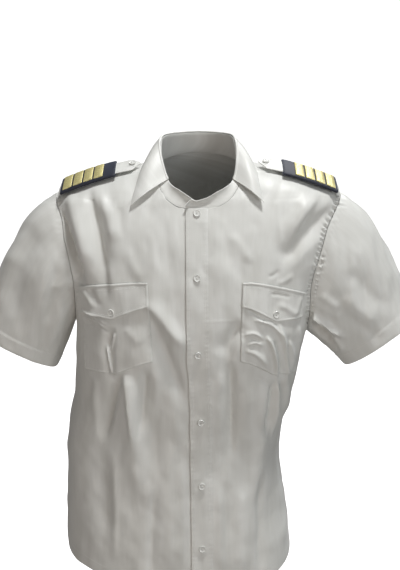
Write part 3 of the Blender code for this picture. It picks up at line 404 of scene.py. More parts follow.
# Collar: the stand's top edge by angle from the front, how far it leans out on the
# wearer's left, and the leaf's outer edge
STAND_MIDDLE = -0.012
STAND_RADII = (0.063, 0.065)
STAND_TOP = np.array((
    (0.0, -0.0525),
    (13.0, -0.0445),
    (26.0, -0.0360),
    (38.0, -0.0290),
    (50.0, -0.0210),
    (69.0, 0.0085),
    (92.0, 0.035),
    (120.0, 0.044),
    (180.0, 0.046),
))
STAND_LEAN = np.array((
    (0.0, 0.0000),
    (25.0, 0.0010),
    (50.0, 0.0050),
    (72.0, 0.0000),
    (95.0, -0.0045),
    (130.0, -0.0030),
    (180.0, 0.0000),
))
UNDER_DROP = 0.0024
UNDER_RISE = -0.0015
STAND_ROLL = 0.0062
STAND_ROLL_ENDS = (54.0, 34.0)
STAND_HOLLOW = 0.0014
STAND_OVER = 0.0016
STAND_OVER_STEPS = 22
STAND_HIDDEN_STEPS = 12
STAND_END = ((0.55, 0.80), (1.0, 0.22))
LEAF_START = 50.0
LEAF_EDGE = np.array((
    (50.0, 0.1030, -0.085, -0.0525),
    (65.0, 0.0975, -0.064, -0.0290),
    (80.0, 0.0930, -0.042, -0.0075),
    (95.0, 0.0890, -0.014, 0.0010),
    (110.0, 0.0865, 0.012, 0.0015),
    (130.0, 0.0740, 0.043, 0.0050),
    (155.0, 0.0400, 0.066, 0.0040),
    (180.0, 0.0000, 0.074, 0.0010),
))
LEAF_POINT_RIGHT = (0.0065, 0.000, -0.006)
LEAF_POINT_TURN = (110.0, 50.0)
LEAF_OUT = 0.0013
LEAF_UP = 0.0010
LEAF_FOLD = 0.002
LEAF_BULGE = 0.003
LEAF_STEPS = 26
LEAF_CURL = 0.0045

# Shoulder straps, the boards slid on them and the boards' bars
STRAP_WIDTH = 0.040
STRAP_WALL = 0.0016
STRAP_REACH = (0.095, 0.2290)
STRAP_LIFT = {1: 0.0040, -1: 0.0012}
STRAP_SEAM_DROP = {1: 0.0057, -1: 0.0066}
STRAP_POINT = 0.014
STRAP_MIDDLE = -0.017
STRAP_TILT = math.radians(18.0)
STRAP_CROWN = 0.002
BOARD_REACH = (0.135, 0.2235)
BOARD_HALF = 0.028
BOARD_HEIGHT = 0.005
BOARD_WALL = 0.0013
BOARD_DROP = 0.0017
BOARD_CLEARANCE = 0.0005
BAR_WIDTH = 0.0142
BAR_PITCH = 0.0167
BAR_MARGIN = 0.0045
BAR_HALF = 0.0232
BAR_WALL = 0.0009
BARS = 4

# Buttons
BUTTON_RADIUS = 0.00575
BUTTON_THICK = 0.0022
BUTTON_LEVELS = (-0.0708, -0.1685, -0.2907, -0.4043, -0.515, -0.622)
FLAP_BUTTON = {1: -0.229, -1: -0.226}
STRAP_BUTTON = 0.108
HOLE_OFF = 0.00125
HOLE_RADIUS = 0.00052

# Turned and stitched edges of pockets and flaps: height, place and width of their ridge; how
# far a pocket stands off the front, and a flap off its pocket; ripples of the placket
EDGE_RIDGE = 0.0007
RIDGE_PLACE = 0.0016
RIDGE_WIDTH = 0.0012
TOP_RIDGE = 1.6
POCKET_PUFF = 0.0022
FLAP_LIFT = 0.0018
RIPPLE_HEIGHT = 0.00012
RIPPLE_LENGTH = 0.0090

# Stitches: spacing, length, half thickness and height over the cloth, then the distance from
# the edge of each line: in rows at the hem and above the yoke's seam, in columns at the side
# seams and on the placket, else in metres
STITCH_PITCH = 0.0025
STITCH_LENGTH = 0.0021
STITCH_HALF = 0.00020
STITCH_LIFT = 0.0001
HEM_STITCHES = 0.4
SIDE_STITCHES = 0.22
YOKE_STITCHES = (0.12, 0.36)
PLACKET_STITCHES = (0.30, 1.70)
POCKET_STITCHES = 0.0022
FLAP_STITCHES = 0.0045
SLEEVE_STITCHES = 0.0200
STAND_STITCHES = 0.0022
LEAF_STITCHES = 0.0050
STRAP_STITCHES = 0.0040
BOARD_STITCHES = 0.0030

# Density of the shells: size of a cell on the back, the fronts, the sleeves and the small parts,
# and the fewest cells in a row's height on the flat shoulder
GRAIN = 0.0031
FRONT_GRAIN = 0.0023
SLEEVE_GRAIN = 0.0036
FINE_GRAIN = 0.0013
SHOULDER_STEPS = 6

# Cells across each column of a front, of the placket, of the back and of a pocket or a flap,
# from one end to the other of a sleeve, and round each half of the leaf
FRONT_STEPS = (6, 6) + (8,) * 3 + (6,) * 8 + (10,) * 3
PLACKET_STEPS = (7, 7)
BACK_STEPS = (7,) * BACK_COLUMNS
POCKET_STEPS = 12
SLEEVE_STEPS = 60
LEAF_COLUMNS = 74

# Shells: how much of the thickness is rounded off at a rim, the turn that counts as a sharp
# edge, and the distances below which points are joined and edges taken out
RIM_ROUND = 0.25
SHARP_TURN = math.radians(50)
MERGE_REACH = 0.00001
FLAT_EDGE = 0.000001

SIDES = {"left": 1, "right": -1}
ANGLES = np.radians(np.linspace(-90.0, 270.0, 721))
FRONT_ANGLE = 180
UP = np.array((0.0, 0.0, 1.0))
ROUNDING = 0.001


def smooth_table(table, column, x):
    """A monotone curve through one column of a table whose first column is the place."""
    order = np.argsort(table[:, 0])
    xs = table[order, 0]
    ys = table[order, column]
    steps = np.diff(xs)
    slopes = np.diff(ys) / steps
    before, after = slopes[:-1], slopes[1:]
    tangents = np.concatenate(([slopes[0]], np.zeros(len(before)), [slopes[-1]]))
    even = before * after > 0
    tangents[1:-1][even] = 2 * before[even] * after[even] / (before[even] + after[even])
    i = np.clip(np.searchsorted(xs, x) - 1, 0, len(steps) - 1)
    t = (x - xs[i]) / steps[i]
    rise = (3 - 2 * t) * t * t
    start = t * (1 - t) ** 2
    end = t * t * (t - 1)
    bend = steps[i] * (start * tangents[i] + end * tangents[i + 1])
    return ys[i] + (ys[i + 1] - ys[i]) * rise + bend


def smoothstep(start, end, x):
    t = np.clip((x - start) / (end - start), 0, 1)
    return t * t * (3 - 2 * t)


def unit(vectors):
    return vectors / np.linalg.norm(vectors, axis=-1, keepdims=True)


def section(z):
    """Middle, half width, half depth in front and behind, and squareness at a height."""
    return [smooth_table(SECTIONS, column, z) for column in range(1, 6)]


def body(angle, z):
    """Point of the shirt's outer face; angle 0 is the front, 90 degrees the wearer's left."""
    middle, width, front, back, square = section(z)
    sine, cosine = np.sin(angle), np.cos(angle)
    x = middle + width * np.sign(sine) * np.abs(sine) ** (2 / square)
    depth = np.where(cosine > 0, front, back)
    y = -depth * np.sign(cosine) * np.abs(cosine) ** (2 / square)
    near_neck = np.clip(1 + z / NAPE_REACH, 0, 1) ** 2
    rise = NAPE_RISE * near_neck * np.where(cosine < 0, (y / back) ** 2, 0)
    return np.stack(np.broadcast_arrays(x, y, z + rise), axis=-1)


def body_normal(angle, z):
    turn, step = 0.01, 0.0005
    across = body(angle + turn, z) - body(angle - turn, z)
    up = body(angle, z + step) - body(angle, z - step)
    return unit(np.cross(across, up))


def arc_lengths(z):
    """Length round the section at a height, from the front, at each of ANGLES."""
    steps = np.linalg.norm(np.diff(body(ANGLES, z), axis=0), axis=1)
    arcs = np.concatenate(([0.0], np.cumsum(steps)))
    return arcs - arcs[FRONT_ANGLE]


def arc_at(z, angle):
    return np.interp(angle, ANGLES, arc_lengths(z))


def angle_at_x(z, x):
    """Angle of the point of the front with this x."""
    middle, width, _, _, square = section(z)
    share = np.clip(abs(x - middle) / width, 0, 1)
    return math.copysign(math.asin(share ** (square / 2)), x - middle)


def armhole_reach(side, face, z):
    """How far in front of or behind the shoulder line the armhole or seam is at a height."""
    middle = (SHOULDER_TIP + ARMPIT[side]) / 2
    half = (SHOULDER_TIP - ARMPIT[side]) / 2
    share = min(abs(z - middle) / half, 1.0)
    reach = ARMHOLE_FRONT if face == "front" else ARMHOLE_BACK
    return max(reach * math.sqrt(1 - share * share), SIDE_GAP / 2)


def edge_angle(side, face, z):
    """Angle where a front or the back ends: at the armhole, shoulder seam or side seam."""
    _, _, front, back, square = section(z)
    depth = front if face == "front" else back
    lean = math.asin((armhole_reach(side, face, z) / depth) ** (square / 2))
    angle = side * (math.pi / 2 - lean)
    return angle if face == "front" else math.pi - angle


def edge_height(side, level):
    column = 1 if side > 0 else 2
    return np.interp(level, EDGE_HEIGHTS[::-1, 0], EDGE_HEIGHTS[::-1, column])


def front_height(side, column, level):
    """Height of a point of a front's row, which dips at the pocket and rises at the sides."""
    off_middle = abs(column - COLUMN_POCKET_MIDDLE)
    pocket_half = COLUMN_POCKET_END - COLUMN_POCKET_MIDDLE
    dip = np.interp(level, POCKET_DIPS[::-1, 0], POCKET_DIPS[::-1, 1])
    dip = dip * max(1 - off_middle / pocket_half, 0)
    droops = (0, POCKET_DROOP[side][1], POCKET_DROOP[side][0], 0)
    droop = np.interp(level, (TAIL_START, POCKET_BOTTOM, POCKET_TOP, YOKE_SEAM), droops)
    outward = np.clip((column - COLUMN_POCKET - 1) / (2 * pocket_half - 1), 0, 1) ** 1.3
    inner = level - dip - droop * outward
    last = np.clip((column - COLUMN_POCKET_END) / (COLUMN_EDGE - COLUMN_POCKET_END), 0, 1)
    tail = np.clip((column - 1) / (COLUMN_EDGE - 1), 0, 1) ** 2.2
    share = last + (tail - last) * smoothstep(TAIL_START, TAIL_FULL, level)
    return inner + (edge_height(side, level) - inner) * share


def pocket_inner(side, z):
    top, bottom = POCKET_INNER[side]
    return np.interp(z, (POCKET_BOTTOM, POCKET_TOP), (bottom, top))


def free_reach(side, column, z, edge):
    """Distance from the placket's middle line where the columns keep their true sizes."""
    start = pocket_inner(side, z)
    places = (-PLACKET_HALF, PLACKET_HALF, *INNER_STEPS, start, start + POCKET_WIDTH[side], edge)
    columns = (0, COLUMN_PLACKET_END, 3, 4, COLUMN_POCKET, COLUMN_POCKET_END, COLUMN_EDGE)
    return np.interp(column, columns, places)


def front_angle(side, column, z, shares):
    """Angle of a front's column at a height: even shares near the neck, true sizes below."""
    line_x = smooth_table(PLACKET_LINE, 1, min(z, NECK_FRONT))
    arcs = arc_lengths(z)
    line = np.interp(angle_at_x(z, line_x), ANGLES, arcs)
    edge = side * (np.interp(edge_angle(side, "front", z), ANGLES, arcs) - line)
    if column <= COLUMN_PLACKET_END and z <= NECK_FRONT:
        reach = (column - 1) * PLACKET_HALF
    else:
        neck = PLACKET_HALF
        if z > NECK_FRONT:
            start_x = line_x + side * PLACKET_HALF
            neck_x = start_x + (side * NECK_HALF_WIDTH - start_x) * math.sqrt(1 - (z / NECK_FRONT) ** 2)
            neck = min(side * (np.interp(angle_at_x(z, neck_x), ANGLES, arcs) - line), edge)
        even = neck + shares[column] * (edge - neck)
        free = free_reach(side, column, z, edge)
        reach = even + (free - even) * smoothstep(*FREE_LEVELS, z)
    return np.interp(line + side * reach, arcs, ANGLES)


def column_shares(side):
    """Share of a front's width at each column, taken where the true sizes start."""
    z = FREE_LEVELS[1]
    line = arc_at(z, angle_at_x(z, smooth_table(PLACKET_LINE, 1, z)))
    edge = side * (arc_at(z, edge_angle(side, "front", z)) - line)
    columns = np.arange(COLUMN_EDGE + 1)
    return (free_reach(side, columns, z, edge) - PLACKET_HALF) / (edge - PLACKET_HALF)


def front_tables(side):
    """Angles and heights of a front's whole rows and columns."""
    columns = range(COLUMN_EDGE + 1)
    shares = column_shares(side)
    heights = np.array([[front_height(side, c, level) for c in columns] for level in LEVELS])
    angles = [[front_angle(side, c, z, shares) for c, z in enumerate(row)] for row in heights]
    angles = np.array(angles)
    angles[:ROW_NECK, :COLUMN_PLACKET_END] = angles[ROW_NECK, :COLUMN_PLACKET_END]
    return angles, heights


def back_height(share, level):
    """Height of a point of the back's row; share 0 is the wearer's left edge, 1 the right."""
    middle = level - BACK_TAIL * smoothstep(TAIL_START, HEM, level)
    edges = {1: share, -1: 1 - share}
    low = smoothstep(TAIL_START, TAIL_FULL, level)
    height = middle
    for side, off_edge in edges.items():
        near = max(1 - off_edge / 0.25, 0)
        tail = max(1 - 2 * off_edge, 0) ** 2.2
        weight = near + (tail - near) * low
        height = height + (edge_height(side, level) - middle) * weight
    return height


def back_tables():
    """Angles and heights of the back's whole rows and columns."""
    shares = np.linspace(0, 1, BACK_COLUMNS + 1)
    heights = np.array([[back_height(share, level) for share in shares] for level in LEVELS])
    angles = np.empty_like(heights)
    for row, column in np.ndindex(heights.shape):
        z = heights[row, column]
        arcs = arc_lengths(z)
        first, last = [np.interp(edge_angle(side, "back", z), ANGLES, arcs) for side in (1, -1)]
        angles[row, column] = np.interp(first + shares[column] * (last - first), arcs, ANGLES)
    return angles, heights


def row_tangents(table):
    """Slopes down each column of a table that keep a curve through it monotone."""
    slopes = np.diff(table, axis=0)
    before, after = slopes[:-1], slopes[1:]
    tangents = np.zeros_like(table)
    tangents[0], tangents[-1] = slopes[0], slopes[-1]
    even = before * after > 0
    total = np.where(even, before + after, 1)
    tangents[1:-1] = np.where(even, 2 * before * after / total, 0)
    return tangents


def between(table, tangents, rows, columns, curved):
    """Values of a table between its rows and columns; curved is 1 where columns are smooth too."""
    last_row, last_column = table.shape[0] - 2, table.shape[1] - 2
    i = np.clip(np.floor(rows).astype(int), 0, last_row)
    j = np.clip(np.floor(columns).astype(int), 0, last_column)
    t, s = rows - i, columns - j
    rise = (3 - 2 * t) * t * t
    start, end = t * (1 - t) ** 2, t * t * (t - 1)

    def down(column):
        k = np.clip(column, 0, last_column + 1)
        a, b = table[i, k], table[i + 1, k]
        return a + (b - a) * rise + start * tangents[i, k] + end * tangents[i + 1, k]

    first, second = down(j), down(j + 1)
    before = np.where(j == 0, 2 * first - second, down(j - 1))
    after = np.where(j == last_column, 2 * second - first, down(j + 2))
    straight = first + (second - first) * s
    bend = 2 * first + (second - before) * s + (2 * before - 5 * first + 4 * second - after) * s ** 2
    bend = 0.5 * (bend + (3 * first - before - 3 * second + after) * s ** 3)
    return straight + (bend - straight) * curved


def positions(counts):
    """Places between whole numbers: counts says in how many steps each interval is cut."""
    parts = [k + np.arange(count) / count for k, count in enumerate(counts)]
    return np.concatenate(parts + [[len(counts)]])


def row_positions(first, last, grain):
    """Rows of a shell from one whole row to another, closer where the shoulder is flat."""
    counts = []
    for row in range(first, last):
        count = math.ceil((LEVELS[row] - LEVELS[row + 1]) / grain)
        counts.append(max(count, SHOULDER_STEPS) if row < ROW_NECK else count)
    return first + positions(counts)


def level_at(rows):
    """Height of a row, whole or between, on plain cloth."""
    return np.interp(rows, np.arange(ROW_HEM + 1), LEVELS)


def relief(face, x, z):
    """Height of the largest folds at a place of the front or the back."""
    height = np.zeros_like(x)
    for x0, z0, x1, z1, width, size in FOLDS[face]:
        length = math.hypot(x1 - x0, z1 - z0)
        along = ((x - x0) * (x1 - x0) + (z - z0) * (z1 - z0)) / length ** 2
        off = ((x - x0) * (z1 - z0) - (z - z0) * (x1 - x0)) / length
        ends = smoothstep(0, 0.3, along) * smoothstep(1, 0.7, along)
        height = height + size * np.exp(-(off / width) ** 2) * ends
    return height


def crease_height(face, x, z):
    """Height of the finer creases, each along a curve through its three points."""
    height = np.zeros(x.shape)
    pieces = CREASE_PIECES
    t = np.linspace(0, 1, pieces + 1)
    for x0, z0, xm, zm, x1, z1, left, right, size in CREASES[face]:
        bend_x, bend_z = 2 * xm - (x0 + x1) / 2, 2 * zm - (z0 + z1) / 2
        path_x = x0 * (1 - t) ** 2 + 2 * bend_x * t * (1 - t) + x1 * t * t
        path_z = z0 * (1 - t) ** 2 + 2 * bend_z * t * (1 - t) + z1 * t * t
        reach = CREASE_REACH * max(left, right)
        near = (x > path_x.min() - reach) & (x < path_x.max() + reach)
        near &= (z > path_z.min() - reach) & (z < path_z.max() + reach)
        px, pz = x[near], z[near]
        best = np.full(px.shape, np.inf)
        place = np.zeros(px.shape)
        turned = np.zeros(px.shape)
        for k in range(pieces):
            dx, dz = path_x[k + 1] - path_x[k], path_z[k + 1] - path_z[k]
            along = ((px - path_x[k]) * dx + (pz - path_z[k]) * dz) / (dx * dx + dz * dz)
            along = np.clip(along, 0, 1)
            away = np.hypot(px - path_x[k] - along * dx, pz - path_z[k] - along * dz)
            closer = away < best
            best = np.where(closer, away, best)
            place = np.where(closer, (k + along) / pieces, place)
            turned = np.where(closer, (px - path_x[k]) * dz - (pz - path_z[k]) * dx, turned)
        width = np.where(turned > 0, left, right)
        ends = smoothstep(0, 0.25, place) * smoothstep(1, 0.7, place)
        height[near] += size * np.exp(-(best / width) ** 2) * ends
    return height


def crumple(x, z, seed):
    """A small unevenness made of waves in many directions."""
    draw = np.random.default_rng(seed)
    height = np.zeros(x.shape)
    for length, size, count in CRUMPLES:
        for _ in range(count):
            turn, phase = draw.uniform(0, 2 * math.pi, 2)
            wave = length * draw.uniform(0.7, 1.5)
            height += size / math.sqrt(count) * np.sin(
                2 * math.pi * (x * math.cos(turn) * 1.6 + z * math.sin(turn) * 0.7) / wave + phase)
    return height


def pucker(side, off, along):
    """Slanted little waves at a sewn seam, by distance from it and length along it."""
    uneven = 1 + 0.20 * np.sin(along * 61.0 + side) + 0.18 * np.sin(along * 143.0 + 2 * side)
    place = (along + 0.004 * np.sin(along * 70.0)) / PUCKER_LENGTH
    wave = np.sin(2 * math.pi * place + PUCKER_SLANT * off * 8)
    hug = smoothstep(0.0, 0.005, off) * np.exp(-(off / PUCKER_REACH) ** 4)
    return PUCKER_HEIGHT[side] * uneven * wave * hug


class Panel:
    """One front or the back; a place on it is a row and a column, whole ones or between."""

    def __init__(self, face, side, tables):
        self.face = face
        self.side = side
        self.angles, self.heights = tables
        self.angle_tangents = row_tangents(self.angles)
        self.height_tangents = row_tangents(self.heights)

    def base(self, rows, columns):
        """Points and normals on the body, with no folds, and the heights there."""
        rows, columns = np.broadcast_arrays(np.asarray(rows, float), np.asarray(columns, float))
        curved = np.ones(rows.shape)
        if self.face == "front":
            curved = smoothstep(ROW_POCKET_END + 1.5, ROW_POCKET_END + 4, rows)
        angles = between(self.angles, self.angle_tangents, rows, columns, curved)
        heights = between(self.heights, self.height_tangents, rows, columns, curved)
        return body(angles, heights), body_normal(angles, heights), heights

    def seam(self, rows, points):
        """Distance to the armhole's edge on each side that the panel has, and length along it."""
        edges = {self.side: COLUMN_EDGE} if self.face == "front" else {1: 0, -1: BACK_COLUMNS}
        guide = np.linspace(0, ROW_HEM, 301)
        found = []
        for side, column in edges.items():
            line = self.base(guide, np.full(guide.shape, column))[0]
            length = np.concatenate(([0], np.cumsum(np.linalg.norm(np.diff(line, axis=0), axis=1))))
            edge = np.stack([np.interp(rows, guide, line[:, k]) for k in range(3)], axis=-1)
            off = np.linalg.norm(points - edge, axis=-1)
            found.append((side, off, np.interp(rows, guide, length)))
        return found

    def place(self, rows, columns, layer=0.0):
        """Points and normals of the folded cloth, moved out by a layer."""
        rows, columns = np.broadcast_arrays(np.asarray(rows, float), np.asarray(columns, float))
        points, normals, heights = self.base(rows, columns)
        x, z = points[..., 0], heights
        if self.face == "front":
            fade = smoothstep(COLUMN_EDGE, COLUMN_EDGE - FOLD_EDGE_COLUMNS, columns)
            fade = fade * smoothstep(*FOLD_START["front"], z)
        else:
            share = columns / BACK_COLUMNS
            fade = smoothstep(0, FOLD_EDGE_SHARE, share) * smoothstep(1, 1 - FOLD_EDGE_SHARE, share)
            fade = fade * smoothstep(*FOLD_START["back"], z)
        lift = relief(self.face, x, z) * fade
        if self.face == "front":
            room = (COLUMN_EDGE - columns) * COLUMN_STEP
            out = smoothstep(0.045, 0.080, np.abs(x)) * smoothstep(0.0, 0.020, room)
            sharp = SHOULDER_SHARP[0] + SHOULDER_SHARP[1] * x * x
            off_turn = np.hypot(z - SHOULDER_TURN, SHOULDER_BLUR)
            lift = lift - sharp / 2 * SHOULDER_SPREAD * np.exp(-off_turn / SHOULDER_SPREAD) * out
        calm = smoothstep(*CREASE_START, z)
        if self.face == "front":
            calm = calm * smoothstep(NECK_HALF_WIDTH, NECK_HALF_WIDTH + 0.03, np.abs(x) - 1.1 * z)
        seams = self.seam(rows, points)
        for _, off, _ in seams:
            calm = calm * smoothstep(0.0, SEAM_CALM, off)
        fine = crease_height(self.face, x, z) + crumple(x, z, CRUMPLE_SEEDS[self.face])
        if self.face == "front":
            fine = fine * self.near_buttons(x, z)
        lift = lift + fine * calm
        for side, off, along in seams:
            sewn = smoothstep(ROW_TIP, ROW_TIP + 0.6, rows)
            sewn = sewn * smoothstep(ROW_ARMPIT + 0.4, ROW_ARMPIT - 0.4, rows)
            lift = lift + pucker(side, off, along) * sewn
        if self.face == "front" and self.side < 0:
            away = smooth_table(PLACKET_LINE, 1, np.minimum(z, NECK_FRONT)) - x
            places = (PLACKET_HALF, *INNER_STEPS, POCKET_INNER[-1][0])
            steps = np.interp(away, places, (1, 2 / 3, 1 / 3, 0))
            below_neck = smoothstep(NECK_FRONT + 0.02, NECK_FRONT, level_at(rows))
            lift = lift - (LAYER + UNDER_SPARE) * steps * below_neck
        return points + (lift + layer)[..., None] * normals, normals

    def near_buttons(self, x, z):
        """0 at each button of the front, 1 away from them, so that buttons keep their seats."""
        keep = np.ones(x.shape)
        for level in BUTTON_LEVELS:
            off = np.hypot(x - smooth_table(PLACKET_LINE, 1, level), z - level)
            keep = keep * smoothstep(BUTTON_RADIUS, 3 * BUTTON_RADIUS, off)
        return keep


def grid_numbers(rows, columns, closed=False):
    numbers = np.arange(rows * columns).reshape(rows, columns)
    return np.hstack((numbers, numbers[:, :1])) if closed else numbers


def grid_normals(points, closed=False):
    """Normals of a grid from the steps along its rows and its columns."""
    if closed:
        across = np.roll(points, -1, axis=1) - np.roll(points, 1, axis=1)
    else:
        across = np.gradient(points, axis=1)
    return unit(np.cross(across, np.gradient(points, axis=0)))


def lengths_along(points, axis):
    """Length along a grid's rows or columns, at each of its points."""
    steps = np.linalg.norm(np.diff(points, axis=axis), axis=-1)
    pad = [(0, 0), (0, 0)]
    pad[axis] = (1, 0)
    return np.cumsum(np.pad(steps, pad), axis=axis)


def add_object(name, mesh, material):
    mesh.materials.append(material)
    piece = bpy.data.objects.new(name, mesh)
    bpy.context.collection.objects.link(piece)
    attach(piece, "root")
    return piece


def shell(node, points, normals, material, thickness=SHELL, closed=False, gone=None,
          ending="cloth"):
    """The piece that stands for a node: outer face, inner face and rims on a grid of points.

    gone marks missing points, and closed joins the last column to the first.
    """
    name = f"{node}_{ending}"
    rows, columns = points.shape[:2]
    numbers = grid_numbers(rows, columns, closed)
    a, b, c, d = numbers[:-1, :-1], numbers[:-1, 1:], numbers[1:, 1:], numbers[1:, :-1]
    quads = np.stack((a, b, c, d), axis=-1).reshape(-1, 4)
    if gone is not None:
        quads = quads[~gone.reshape(-1)[quads].any(axis=1)]
    flat = points.reshape(-1, 3)
    facing = normals.reshape(-1, 3)
    sides = np.cross(flat[quads[:, 2]] - flat[quads[:, 0]], flat[quads[:, 3]] - flat[quads[:, 1]])
    if np.sum(sides * facing[quads[:, 0]]) < 0:
        quads = quads[:, ::-1]
    used = np.unique(quads)
    place = np.full(len(flat), -1)
    place[used] = np.arange(len(used))
    quads = place[quads]
    edges = np.concatenate([quads[:, (k, (k + 1) % 4)] for k in range(4)])
    seen = set(map(tuple, edges.tolist()))
    rim = np.array([edge for edge in edges.tolist() if (edge[1], edge[0]) not in seen])
    outer, facing = flat[used].copy(), facing[used]
    inner = outer - thickness * facing
    border = np.unique(rim)
    outer[border] -= RIM_ROUND * thickness * facing[border]
    inner[border] += RIM_ROUND * thickness * facing[border]
    count = len(used)
    faces = quads.tolist() + (quads[:, ::-1] + count).tolist()
    faces += [(b, a, a + count, b + count) for a, b in rim.tolist()]
    mesh = bpy.data.meshes.new(name)
    mesh.from_pydata(np.vstack((outer, inner)).tolist(), [], faces)
    lengths = (lengths_along(points, 1), lengths_along(points, 0), np.zeros((rows, columns)))
    weave = np.stack(lengths, axis=-1).reshape(-1, 3)[used]
    layer = mesh.attributes.new("weave", "FLOAT_VECTOR", "POINT")
    layer.data.foreach_set("vector", np.vstack((weave, weave)).astype(np.float32).ravel())
    merge_doubles(mesh)
    mesh.shade_smooth()
    mesh.set_sharp_from_angle(angle=SHARP_TURN)
    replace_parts(add_object(name, mesh, material), node)


def merge_doubles(mesh):
    """Joins points that fall together, where a grid's row ends in one point."""
    shape = bmesh.new()
    shape.from_mesh(mesh)
    bmesh.ops.remove_doubles(shape, verts=shape.verts, dist=MERGE_REACH)
    bmesh.ops.dissolve_degenerate(shape, edges=shape.edges, dist=FLAT_EDGE)
    shape.to_mesh(mesh)
    shape.free()


class Thread:
    """Stitches gathered from many lines into one mesh."""

    def __init__(self):
        self.points = []
        self.count = 0

    def line(self, points, normals):
        """Stitches along a line of points: each is a short grain of thread on the cloth."""
        steps = np.linalg.norm(np.diff(points, axis=0), axis=1)
        along = np.concatenate(([0], np.cumsum(steps)))
        starts = np.arange(STITCH_PITCH / 2, along[-1] - STITCH_LENGTH, STITCH_PITCH)

        def at(place, values):
            return np.stack([np.interp(place, along, values[:, k]) for k in range(3)], axis=-1)

        a, b = at(starts, points), at(starts + STITCH_LENGTH, points)
        up = unit(at(starts + STITCH_LENGTH / 2, normals))
        middle = at(starts + STITCH_LENGTH / 2, points) + STITCH_LIFT * up
        aside = np.cross(unit(b - a), up) * STITCH_HALF
        top, bottom = middle + up * STITCH_HALF, middle - up * STITCH_HALF
        corners = (a, b, middle + aside, top, middle - aside, bottom)
        self.points.append(np.stack(corners, axis=1).reshape(-1, 3))
        self.count += len(starts)

    def build(self, name, material, slot_name):
        points = np.concatenate(self.points)
        faces = []
        for k in range(self.count):
            a, b, *ring = range(6 * k, 6 * k + 6)
            for first, second in zip(ring, ring[1:] + ring[:1]):
                faces += [(a, first, second), (b, second, first)]
        mesh = bpy.data.meshes.new(name)
        mesh.from_pydata(points.tolist(), [], faces)
        mesh.shade_smooth()
        add_object(name, mesh, material)


def sew(thread, panel, rows, columns, layer=0.0, lift=0.0):
    """Stitches along a line on a panel, on a layer that stands off it by a lift."""
    line, normals = panel.place(rows, columns, layer + STITCH_LIFT)
    thread.line(line + np.asarray(lift)[..., None] * normals, normals)


def sew_hem(thread, panel, first, last):
    """The stitches that hold the hem of a front or the back."""
    sew(thread, panel, ROW_HEM - HEM_STITCHES, np.linspace(first + 0.05, last - 0.05, 400))


def across_at(points, normals, lengths, reach):
    """Where the length down each column of a grid comes to reach: points, normals and rows."""
    k = np.arange(points.shape[1])
    numbers = np.arange(len(lengths))
    place = np.array([np.interp(reach, lengths[:, column], numbers) for column in k])
    low = np.clip(np.floor(place).astype(int), 0, len(lengths) - 2)
    t = (place - low)[:, None]
    return points[low, k] * (1 - t) + points[low + 1, k] * t, normals[low, k], low


def make_front(name, panel, material):
    """A front: its rows meet in one point at the neck, and the placket's columns end below it."""
    rows = row_positions(0, ROW_HEM, FRONT_GRAIN)[:, None]
    columns = positions(FRONT_STEPS)[None, :]
    points, normals = panel.place(rows, columns)
    points[0] = points[0, -1]
    gone = (rows < ROW_NECK - ROUNDING) & (columns < COLUMN_PLACKET_END - ROUNDING)
    shell(f"front_{name}", points, normals, material, gone=gone)


def make_part(node, panel, rows, columns, layer, material, lift):
    """A piece that lies on a panel, between some of its rows and columns."""
    points, normals = panel.place(rows[:, None], columns[None, :], layer)
    shell(node, points + lift[..., None] * normals, normals, material)


def make_placket(panel, material, thread):
    rows = row_positions(ROW_NECK, ROW_HEM, FINE_GRAIN * 1.3)
    columns = positions(PLACKET_STEPS)
    edge = np.abs(columns - 1)
    along = -level_at(rows)[:, None]
    place = along + 0.003 * np.sin(along * 90)
    ripple = RIPPLE_HEIGHT * np.sin(2 * math.pi * place / RIPPLE_LENGTH + 2.0 * columns)
    lift = ripple * smoothstep(0.35, 0.8, edge) - 0.0002 * smoothstep(0.85, 1.0, edge)
    make_part("placket", panel, rows, columns, LAYER, material, lift)
    for column in PLACKET_STITCHES:
        sew(thread, panel, rows, column, LAYER)


def pocket_puff(rows, columns):
    """A pocket stands a little off the front in its middle."""
    across = np.clip((columns - COLUMN_POCKET) / (COLUMN_POCKET_END - COLUMN_POCKET), 0, 1)
    down = np.clip((rows - ROW_POCKET) / (ROW_POCKET_END - ROW_POCKET), 0, 1)
    return POCKET_PUFF * (np.sin(math.pi * across) * np.sin(math.pi * down)) ** 0.8


def edge_distance(panel, rows, columns, last_row):
    """Distance in metres from the sides and the lower edge of a pocket or a flap."""
    width = POCKET_WIDTH[panel.side] / (COLUMN_POCKET_END - COLUMN_POCKET)
    aside = np.minimum(columns - COLUMN_POCKET, COLUMN_POCKET_END - columns) * width
    return np.minimum(aside, level_at(rows) - LEVELS[last_row])


def edge_lines(side, first_row, last_row, inset, count):
    """Lines at a distance inside both sides and the lower edge of a pocket or a flap."""
    aside = inset / (POCKET_WIDTH[side] / (COLUMN_POCKET_END - COLUMN_POCKET))
    last = last_row - inset / (LEVELS[last_row - 1] - LEVELS[last_row])
    ends = (COLUMN_POCKET + aside, COLUMN_POCKET_END - aside)
    down = np.linspace(first_row, last, count)
    return [(down, ends[0]), (down, ends[1]), (last, np.linspace(*ends, 90))]


def stitched_ridge(distance):
    """The turned edge stands up a little between the fold and its stitches."""
    return EDGE_RIDGE * np.exp(-((distance - RIDGE_PLACE) / RIDGE_WIDTH) ** 2)


